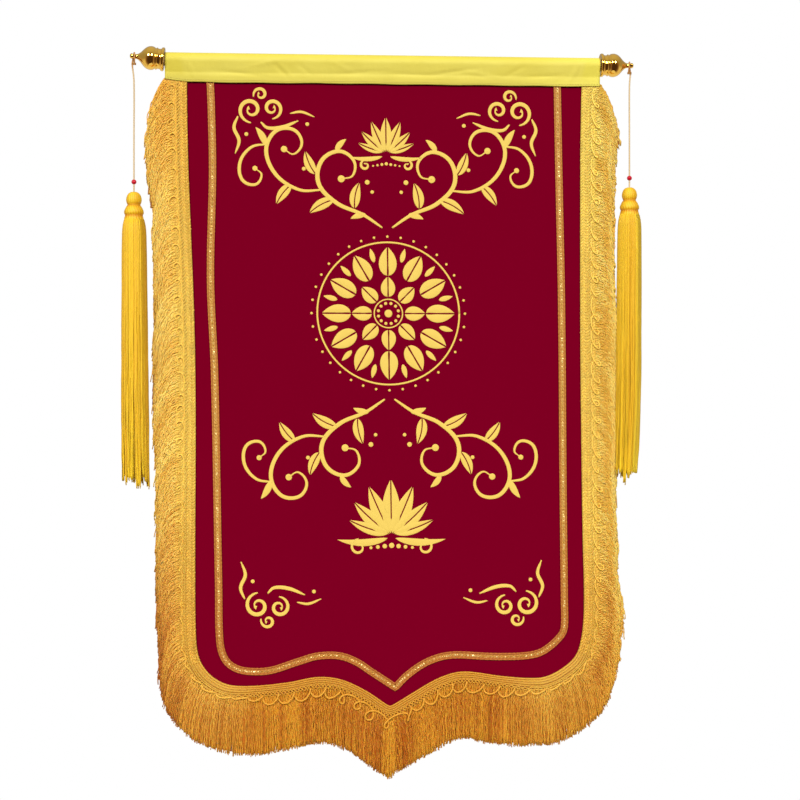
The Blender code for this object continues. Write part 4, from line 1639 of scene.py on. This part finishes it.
    def _hang(
        self,
        shape: Shape,
        rng: np.random.Generator,
        layer: Layer,
        stretch: Stretch,
        first: float,
        last: float,
    ) -> None:
        """Adds one layer of yarns, which fall and curl together in uneven locks.

        Args:
            shape: The yarn's shape.
            rng: Its small differences.
            layer: The layer.
            stretch: How the yarn is there.
            first: Where the stretch starts along the rim.
            last: Where it ends.
        """
        count = int((last - first) / layer.spacing)
        far = np.linspace(first, last, count) + rng.uniform(-0.4, 0.4, count) * layer.spacing
        cuts = rng.uniform(*stretch.lock, int((last - first) / stretch.lock[0]) + 3)
        cuts = np.cumsum(cuts) + first - 5.0
        lock = np.clip(np.searchsorted(cuts, far), 1, len(cuts) - 1)
        centre = (cuts[lock] + cuts[lock - 1]) / 2.0
        tuft, other = rng.normal(0.0, 1.0, (2, len(cuts)))[:, lock]
        turns = rng.uniform(*stretch.turns, len(cuts))[lock] + rng.normal(0.0, stretch.mingle, count)
        phase = rng.random(len(cuts))[lock] + rng.normal(0.0, stretch.mingle, count)
        read = self.rim.read
        side, low, corner = (read(share, far) for share in (self.side, self.low, self.corner))
        start = read(self.rim.points, far)
        x, z = start.T
        fine = layer.sides == 3

        # How each yarn falls, from its root in the header to its tip
        lean = read(self.lean, far) + rng.normal(0.0, 0.012 if fine else 0.004, count)
        lean += 0.01 * tuft * fine + self.wander(rng, far, 34.0) * (0.01 + 0.02 * side) * fine
        way = unit(read(self.edge.out, far))
        across = heading_at(lean)
        fall = -leftward(across)
        ragged = 0.9 * self.wander(rng, far, 14.0) + 0.7 * other + rng.normal(0.0, 0.6, count)
        ragged = ragged * (1.0 + 0.7 * side)
        length = self.lock - layer.short * (1.0 - 0.4 * side * (not fine)) + ragged - 2.0 * corner
        for trim in TRIMS:
            length += trim.more * bell(x, trim.x, trim.reach) * (1.0 - side)
        out = (layer.root + 0.6 * (24.0 - layer.root) * side) * read(self.header, far) / HEADER_WIDTH
        out += rng.uniform(-1.0, 1.0, count)
        root = read(self.edge.points, far) + way * out[:, None]
        gather = (centre - far) * (0.3 - 0.2 * side) * fine
        tip = start + fall * length[:, None] + across * gather[:, None]
        free = 1.0 - 0.8 * ramp(z, -75.0, 50.0)
        over = root + way * (free * (rng.uniform(5.0, 9.0, count) + 3.0 * side))[:, None]
        ahead = fall * (0.25 - 0.15 * side)[:, None] + np.array((0.0, -1.0)) * (0.35 + 0.15 * side)[:, None]
        above = tip - ahead * length[:, None]
        t = np.linspace(0.0, 1.0, stretch.steps if fine else 9)[None]
        u = t[..., None]
        weights = ((1.0 - u) ** 3, 3.0 * u * (1.0 - u) ** 2, 3.0 * u * u * (1.0 - u), u**3)
        flat = sum(weight * point[:, None] for weight, point in zip(weights, (root, over, above, tip)))

        # How it curls
        wave = TURN * (turns[:, None] * t + phase[:, None])
        size = stretch.curl * (rng.uniform(0.6, 1.4, count) * (1.0 if fine else 0.1))[:, None]
        size = size * (0.4 + 0.6 * np.sin(math.pi * np.minimum(t * 1.2, 0.8)))
        flat = flat + across[:, None] * (size * np.sin(wave))[..., None]
        lift = layer.lift + 0.3 * size * np.cos(wave) + rng.normal(0.0, 0.15, count)[:, None] - 0.8 * t

        # How pale it is, from 0 to 1, from the layer's tone, with painted shade on the back layers
        tone = layer.tone + rng.normal(0.0, 0.1, count) + (0.2 + 0.16 * stretch.dip) * tuft
        tone += 0.24 * self.wander(rng, far, 16.0)
        # Paler right at the point and deeper either side of it: a painted highlight on the fold there, with
        # painted shade beside it
        fold = np.abs(far - self.rim.where(POINT))
        tone += 0.4 * bell(fold, 0.0, 5.0) - 0.5 * bell(fold, 18.0, 9.0)
        fade = 0.42 * np.exp(-t * 3.6) - 0.2 * np.sin(math.pi * t) + 0.1 * t
        dip = stretch.dip * bell(t, 0.45 + 0.1 * self.wander(rng, far, 60.0)[:, None], 0.18)
        amber = stretch.amber * ramp(z, -150.0, 90.0) * side
        tips = (stretch.tips * side * ramp(z, -130.0, -90.0))[:, None] * t**3
        fleck = np.sin(TURN * (t * rng.uniform(5.0, 10.0, count)[:, None] + rng.random(count)[:, None]))
        shift = fade * (1.0 - side)[:, None] + tips - dip * np.maximum(side, corner)[:, None] - amber[:, None]
        tone = np.clip(tone[:, None] + shift + 0.13 * fleck, 0.0, 1.0)[..., None]

        # Its colours
        low = low[:, None] + 0.8 * (read(self.deep, far) - low)[:, None] * t
        sideways_tint = (0.8 * read(self.sideways_tint, far)[:, None] * (1.0 - t))[..., None] * self.tint_shift
        dye = blend(self.dark.at(low), self.light.at(low), tone) * (1.0 + sideways_tint)
        dye = dye * (1.0 + 0.25 * tips[..., None])
        # At the sides, the back layer's tips take painted shade along the outline
        if not fine:
            dye = blend(dye, self.edge_shade, (ramp(t, 0.85, 0.1) * side[:, None])[..., None])
        full = 1.0 - 0.2 * t**3 + 0.2 * fine * side[:, None] * np.exp(-t * 4.0)
        radii = layer.radius * full * rng.uniform(0.85, 1.12, count)[:, None] * MM
        shape.threads(self.tucked(flat, lift), radii, layer.sides, dye)

    def build(self) -> list[Object]:
        """Makes the whole fringe, piece by piece.

        Returns:
            Its pieces.
        """
        rim = self.rim
        cuts = (rim.far[self.ends[0]], rim.where(LEFT_CORNER), rim.where(RIGHT_CORNER), rim.far[self.ends[1]])
        pieces = [*self.build_header(), self.build_loops()]
        for stretch, first, last in zip(STRETCHES, cuts, cuts[1:]):
            pieces.append(self.build_yarn(stretch, first, last))
        return pieces


# Finials


@dataclass
class Finial:
    """A turned finial: flange, collar, waist, ball, ogee and tip."""

    side: Side
    gold: Material
    steps: int = 64
    outline: tuple[Turned, ...] = table(Turned, (
        (0, 42), (1.5, 41.8), (2.8, 41), (3.3, 39.9), (3, 39), (2.9, 38.4), (2.9, 34.6), (3.2, 32.8),
        (4.3, 30.8), (6.6, 28.2), (10.4, 24.8), (13.2, 21.2), (14.4, 17.2), (14.1, 13.6), (13, 11.4),
        (12.5, 10.9), (12.5, 10.5), (13.1, 10.1), (13.6, 9.3), (13.1, 8.5), (12.4, 8.1), (12.3, 7.6),
        (12.5, 4.6), (12.9, 3.9), (14.1, 3.3), (14.4, 2.4), (14.4, 0.9), (14, 0.2), (13.6, 0),
    ))
    bore: tuple[Turned, ...] = table(Turned, ((13.4, 0), (8.7, 0), (8.7, 7.4), (0.02, 7.4)))

    def build(self) -> Object:
        """Makes the finial on its end of the rod.

        Returns:
            The finial.
        """
        side = self.side
        points, faces = turned_shape(self.outline, 0.7, self.steps, np.array(self.bore))
        turn = Euler((0.0, side.sign * math.radians(90.0 - side.tilt), 0.0)).to_matrix()
        placed = points.reshape(-1, 3) @ np.array(turn).T
        placed[:, 0] += side.sign * FINIAL_FACE
        finial = object_of("gold_finial_" + side.name, placed * MM, [faces])
        return dressed(finial, self.gold, "finial_gold", "finial_" + side.name)


# Ornament


@dataclass(frozen=True)
class Stroke:
    """A printed stroke: a line with its half width at each point."""

    line: Array
    half: Array

    @property
    def beside(self) -> Array:
        """The direction square to the line at each point."""
        return leftward(unit(np.gradient(self.line, axis=0)))

    def flipped(self, factors: Pair, shift: Pair = (0.0, 0.0)) -> Stroke:
        """The stroke, mirrored where a factor is -1, and moved."""
        return Stroke(self.line * factors + shift, self.half)


def way_at(degrees: float) -> Array:
    """The direction at an angle, 0 to the right and 90 up."""
    return heading_at(math.radians(degrees))


def leaf(root: Sequence[float], angle: float, length: float, width: float, bend: float = 0.0) -> Stroke:
    """A leaf or a petal.

    Args:
        root: Where it starts.
        angle: Its direction in degrees, 0 to the right and 90 up.
        length: Its length.
        width: Its greatest width.
        bend: How far it curls, in degrees.

    Returns:
        The stroke.
    """
    t = np.linspace(0.0, 1.0, 17)
    moves = heading_at(np.radians(angle + bend * (t - 0.3))) * (length / 16.0)
    line = np.asarray(root) + np.concatenate((np.zeros((1, 2)), np.cumsum(moves[:-1], axis=0)))
    return Stroke(line, width / 2.0 * np.sin(math.pi * t**0.8) ** 0.8 + 0.15)


def scroll(
    middle: Sequence[float], start: float, turns: float, outer: float, inner: float, width: float
) -> Stroke:
    """A scroll that winds in to its middle.

    Args:
        middle: Its middle.
        start: The angle of its outer end in degrees.
        turns: How many turns it winds, less than 0 for clockwise.
        outer: Its radius at the outer end.
        inner: Its radius at the inner end.
        width: Its greatest width.

    Returns:
        The stroke.
    """
    t = np.linspace(0.0, 1.0, 60)
    radius = outer + (inner - outer) * t**0.85
    line = np.asarray(middle) + heading_at(math.radians(start) + TURN * turns * t) * radius[:, None]
    half = width / 2.0 * (0.25 + 0.75 * np.sin(math.pi * np.clip(t * 1.1, 0.0, 1.0) ** 0.7)) + 0.2
    half[-8:] = np.linspace(half[-8], width * 0.55, 8)
    return Stroke(line, half)


def stem(rows: Sequence[Sequence[float]], width: float) -> Stroke:
    """A stem through these points, which tapers at both ends.

    Args:
        rows: The points.
        width: Its greatest width.

    Returns:
        The stroke.
    """
    line = smooth_path(rows, 2.5)[0]
    t = np.linspace(0.0, 1.0, len(line))
    return Stroke(line, width / 2.0 * (0.35 + 0.65 * np.sin(math.pi * np.clip(t * 1.05, 0.0, 1.0)) ** 0.6))


def dot(middle: Sequence[float], radius: float) -> Stroke:
    """A round dot.

    Args:
        middle: Its middle.
        radius: Its radius.

    Returns:
        The stroke.
    """
    t = np.sin(np.linspace(-math.pi / 2.0, math.pi / 2.0, 9))
    line = np.asarray(middle) + np.stack((t * radius, np.zeros(9)), axis=1)
    return Stroke(line, radius * np.sqrt(np.maximum(1.0 - t * t, 0.0)) + 0.02)


def ring(middle: Sequence[float], radius: float, width: float) -> Stroke:
    """A thin ring, whose ends meet."""
    line = np.asarray(middle) + heading_at(np.linspace(0.0, TURN, 97)) * radius
    return Stroke(line, np.full(97, width / 2.0))


def split(stroke: Stroke, gap: float) -> list[Stroke]:
    """A leaf or petal in two halves, with its bare vein between them.

    Args:
        stroke: The leaf or petal.
        gap: The vein's width.

    Returns:
        The halves.
    """
    half = np.maximum(stroke.half - gap / 2.0, 0.02) / 2.0
    middle = stroke.beside * (half + gap / 2.0)[:, None]
    return [Stroke(stroke.line + middle * sign, half) for sign in (-1.0, 1.0)]


def mirrored(strokes: Sequence[Stroke]) -> list[Stroke]:
    """The strokes and their mirror image about the banner's middle."""
    return [*strokes, *(stroke.flipped((-1.0, 1.0)) for stroke in strokes)]


class Leaf(NamedTuple):
    """A leaf on the stems, with the width of its vein, or 0 for a plain bud."""

    x: float
    z: float
    angle: float
    length: float
    width: float
    bend: float
    vein: float


class Dot(NamedTuple):
    """A dot, with its radius."""

    x: float
    z: float
    radius: float


class Stem(NamedTuple):
    """A stem or a tail, with its greatest width and the points that it runs through."""

    width: float
    points: tuple[Pair, ...]


class Petal(NamedTuple):
    """A pair of a lily's petals: how far they lean, and their length and width against the lily's size."""

    lean: float
    length: float
    width: float


class Curl(NamedTuple):
    """A cloud's scroll."""

    x: float
    z: float
    start: float
    turns: float
    outer: float
    inner: float
    width: float


@dataclass
class Ornament:
    """Generic gold ornament on the velvet: a round flower, water lilies, scrolling stems and clouds.

    The clouds' scrolls, tails and drops are given for a pair whose tails rise, with its middle at height 0.
    """

    flock: Material
    height: float = 0.2
    step: float = 0.006
    skew: Pair = (1.0, -10.0 / 700.0)
    flower: Pair = (0.0, -312.0)
    stems: tuple[Stem, ...] = table(Stem, (
        (5.4, (
            (6, -206), (30, -190), (62, -176), (84, -152), (80, -124), (58, -112), (40, -124), (42, -142),
            (56, -146),
        )),
        (5.0, (
            (80, -160), (108, -160), (136, -142), (148, -112), (136, -88), (114, -86), (104, -102),
            (114, -116), (126, -110),
        )),
        (4.2, ((146, -104), (166, -108), (180, -126), (178, -148), (162, -154), (154, -142), (162, -134))),
    ))
    leaves: tuple[Leaf, ...] = table(Leaf, (
        (40, -182, 96, 32, 13, 30, 1.2), (66, -172, -24, 34, 13, -30, 1.2), (88, -140, 62, 30, 12, 28, 1.2),
        (118, -154, -48, 30, 12, -26, 1.2), (148, -106, 66, 26, 8, -30, 0), (62, -112, 124, 20, 7, 40, 0),
        (26, -190, -10, 20, 7, -30, 0),
    ))
    dots: tuple[Dot, ...] = table(Dot, (
        (56, -146, 4.4), (126, -110, 4.0), (162, -134, 3.2),
        (24, -150, 3.0), (18, -162, 2.2), (102, -134, 2.4),
    ))
    curls: tuple[Curl, ...] = table(Curl, (
        (166, 0, 90, -1.4, 16, 3, 4.6), (140, -2, 90, 1.4, 13, 2.6, 4.2), (154, -19, 20, -1.2, 9, 2.2, 3.6),
    ))
    tails: tuple[Stem, ...] = table(Stem, (
        (4.6, ((154, 15), (146, 22), (128, 21), (108, 13))),
        (4.4, ((182, 8), (187, 22), (181, 38), (186, 54))),
        (3.2, ((118, 4), (104, 2), (88, 8))),
    ))
    drops: tuple[Dot, ...] = table(Dot, ((172, 30, 2.4), (97, 17, 2.4)))
    petals: tuple[Petal, ...] = table(Petal, (
        (0, 1, 0.34), (25, 0.95, 0.3), (50, 0.86, 0.26), (74, 0.76, 0.2),
    ))

    def rosette(self, radius: float) -> list[Stroke]:
        """The round flower in the middle: two rings of veined petals in a beaded ring.

        Args:
            radius: Its radius.

        Returns:
            The strokes.
        """
        middle = np.array(self.flower)
        strokes = [ring(middle, radius, 2.2), ring(middle, radius * 0.2, 1.6), dot(middle, radius * 0.055)]
        strokes += [dot(middle + way_at(10.0 * k) * radius * 1.08, radius * 0.018) for k in range(36)]
        for k in range(12):
            angle = 90.0 + 30.0 * k
            petal = leaf(middle + way_at(angle) * radius * 0.53, angle, radius * 0.4, radius * 0.25)
            strokes += split(petal, 1.6)
            between = way_at(angle + 15.0) * radius
            strokes.append(leaf(middle + between * 0.74, angle + 15.0, radius * 0.2, radius * 0.07))
            strokes.append(dot(middle + between * 0.145, radius * 0.022))
        for k in range(8):
            angle = 90.0 + 45.0 * k
            petal = leaf(middle + way_at(angle) * radius * 0.235, angle, radius * 0.28, radius * 0.2)
            strokes += split(petal, 1.3)
        return strokes

    def vines(self) -> list[Stroke]:
        """The scrolling stems above the middle flower, with their leaves and buds.

        Returns:
            The strokes.
        """
        strokes = [stem(points, width) for width, points in self.stems]
        for x, z, angle, length, width, bend, vein in self.leaves:
            made = leaf((x, z), angle, length, width, bend)
            strokes += split(made, vein) if vein else [made]
        strokes += [dot((x, z), radius) for x, z, radius in self.dots]
        return mirrored(strokes)

    def lily(self, z: float, size: float) -> list[Stroke]:
        """A water lily seen from its side, on two long leaves and scrolls over a row of dots.

        Args:
            z: The height of its root.
            size: The length of its middle petal.

        Returns:
            The strokes.
        """
        strokes = []
        for lean, length, width in self.petals:
            for sign in (-1.0, 1.0) if lean else (1.0,):
                root, angle = (sign * lean * 0.06, z), 90.0 - sign * lean
                strokes += split(leaf(root, angle, size * length, size * width, sign * lean * 0.25), 1.4)
        for sign in (-1.0, 1.0):
            under = leaf((sign * 5.0, z - 6.0), 90.0 - sign * 97.0, size * 0.95, size * 0.13, sign * 34.0)
            strokes.append(under)
            middle = (sign * size * 0.62, z - 17.0)
            strokes.append(scroll(middle, 90.0, -sign * 1.1, size * 0.16, size * 0.04, 3.0))
        for k in range(-3, 4):
            strokes.append(dot((k * size * 0.13, z - 15.0 - 0.9 * abs(k)), size * (0.05 - 0.007 * abs(k))))
        return strokes

    def clouds(self, z: float, up: float) -> list[Stroke]:
        """A pair of cloud scrolls with trailing ends, one on each side.

        Args:
            z: The height of their middles.
            up: 1 where their tails rise, and -1 where they fall.

        Returns:
            The strokes.
        """
        strokes = [
            scroll((x, z + high * up), start * up, turns * up, outer, inner, width)
            for x, high, start, turns, outer, inner, width in self.curls
        ]
        strokes += [stem([(x, z + high * up) for x, high in points], width) for width, points in self.tails]
        strokes += [dot((x, z + high * up), radius) for x, high, radius in self.drops]
        return mirrored(strokes)

    def build(self) -> Object:
        """Prints the ornament on the panel's front.

        Returns:
            The ornament.
        """
        under = (0.0, 2.0 * self.flower[1])
        strokes = [
            *self.rosette(88.0),
            *self.vines(),
            *(stroke.flipped((1.0, -1.0), under) for stroke in self.vines()),
            *self.lily(-112.0, 42.0),
            *self.lily(-584.0, 66.0),
            *self.clouds(-672.0, 1.0),
            *self.clouds(-62.0, -1.0),
        ]
        shape = Shape()
        for i, stroke in enumerate(strokes):
            rows = len(stroke.line)
            half = stroke.half[:, None]
            soft = np.minimum(half * 0.3, 0.35)
            top = self.height + self.step * (i % 16)
            rims = ((half, -0.1), (half - soft * 0.2, top * 0.7), (half - soft, top))
            edges = [(edge, lift) for edge, lift in rims] + [(-edge, lift) for edge, lift in rims[::-1]]
            flat = np.stack([stroke.line + stroke.beside * edge for edge, _ in edges])
            flat[..., 0] += self.skew[0] + self.skew[1] * flat[..., 1]
            fronts = np.array([lift for _, lift in edges])[:, None]
            points = surface(flat, PANEL_THICK / 2.0 + np.broadcast_to(fronts, (6, rows)))
            index = np.arange(6 * rows).reshape(6, rows)
            caps = np.stack((index[:, 0], index[::-1, -1]))
            shape.add(points.reshape(-1, 3), [lattice(6, rows, closed=True), caps[:, ::-1]], EVEN)
        return dressed(shape.make("gold_ornament"), self.flock, "panel_velvet")


def main() -> None:
    """Makes the studio and every piece of the banner."""
    logging.basicConfig(level=logging.INFO, format="%(name)s: %(message)s")
    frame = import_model()
    Studio().build()

    string = Twine("cord_string", (0.62, 0.5, 0.31), (0.52, 0.37, 0.17), (0.42, 0.2, 0.05)).make()
    silk = Yarn("tassel_silk", 0.45, 0.8, 0.12).make()
    glaze = Mottled(
        name="bead_glaze",
        low=(0.4, 0.004, 0.016),
        high=(0.56, 0.006, 0.024),
        scale=500.0,
        roughness=0.16,
        vary=0.05,
        specular=0.35,
    )
    red = glaze.make()
    for side in SIDES:
        Hanging(side, string, red, silk).build()

    edge = Path(*smooth_path([row[:2] for row in EDGE], 1.0))
    velvet = Velvet("crimson_velvet", (0.149, 0.0, 0.0116), (0.143, 0.0, 0.0111), (0.1, 0.0, 0.008)).make()
    panel = Panel(velvet, edge)
    cloth = panel.build()
    satin = Satin(
        name="gold_satin",
        colour=(0.66, 0.57, 0.062),
        shade=(0.57, 0.48, 0.05),
        # dull: painted shade of the band under the rod's bulge
        dull=(0.66, 0.58, 0.09),
        # low: painted shade of the bottom strip
        low=(0.5, 0.43, 0.052),
        pale=(0.76, 0.7, 0.095),
    )
    heading = Heading(satin.make(), silk)
    sleeve = heading.build()
    thread = Yarn("tape_thread", 0.5, 0.6, 0.1).make()
    trims = Tape(thread, Yarn("sequin", 0.25, 0.6, 0.02, 0.2).make()).build()
    corded = Yarn("header_cord", 0.5, 1.2, 0.15, glow=0.6).make()
    woven = Braid("header_braid", 2.6, 0.3).make()
    trims += Fringe(corded, woven, Yarn("fringe_yarn", 0.5, 0.9, 0.15, glow=0.6).make(), edge).build()
    flock = Mottled(
        name="gold_flock",
        low=(0.6, 0.42, 0.07),
        high=(0.68, 0.5, 0.088),
        scale=1500.0,
        roughness=0.55,
        vary=0.2,
        cloud=70.0,
        relief=0.12,
        specular=0.3,
    )
    trims.append(Ornament(flock.make()).build())

    plate = Mottled(
        name="gold_plate",
        low=(0.93, 0.61, 0.12),
        high=(0.86, 0.48, 0.06),
        scale=120.0,
        roughness=0.07,
        vary=0.05,
        detail=3.0,
        relief=0.008,
        fine=420.0,
        metallic=1.0,
    )
    gold = plate.make()
    for side in SIDES:
        Finial(side, gold).build()
    wood = Mottled(
        name="rod_wood",
        low=(0.5, 0.33, 0.16),
        high=(0.66, 0.48, 0.26),
        scale=160.0,
        roughness=0.5,
        vary=0.2,
        detail=4.0,
        stretch=(0.06, 1.0, 1.0),
        relief=0.1,
    )
    rod = frame["nodes"]["rod"]
    rod.data.materials.clear()
    rod.data.materials.append(wood.make())


if __name__ == "__main__":
    main()
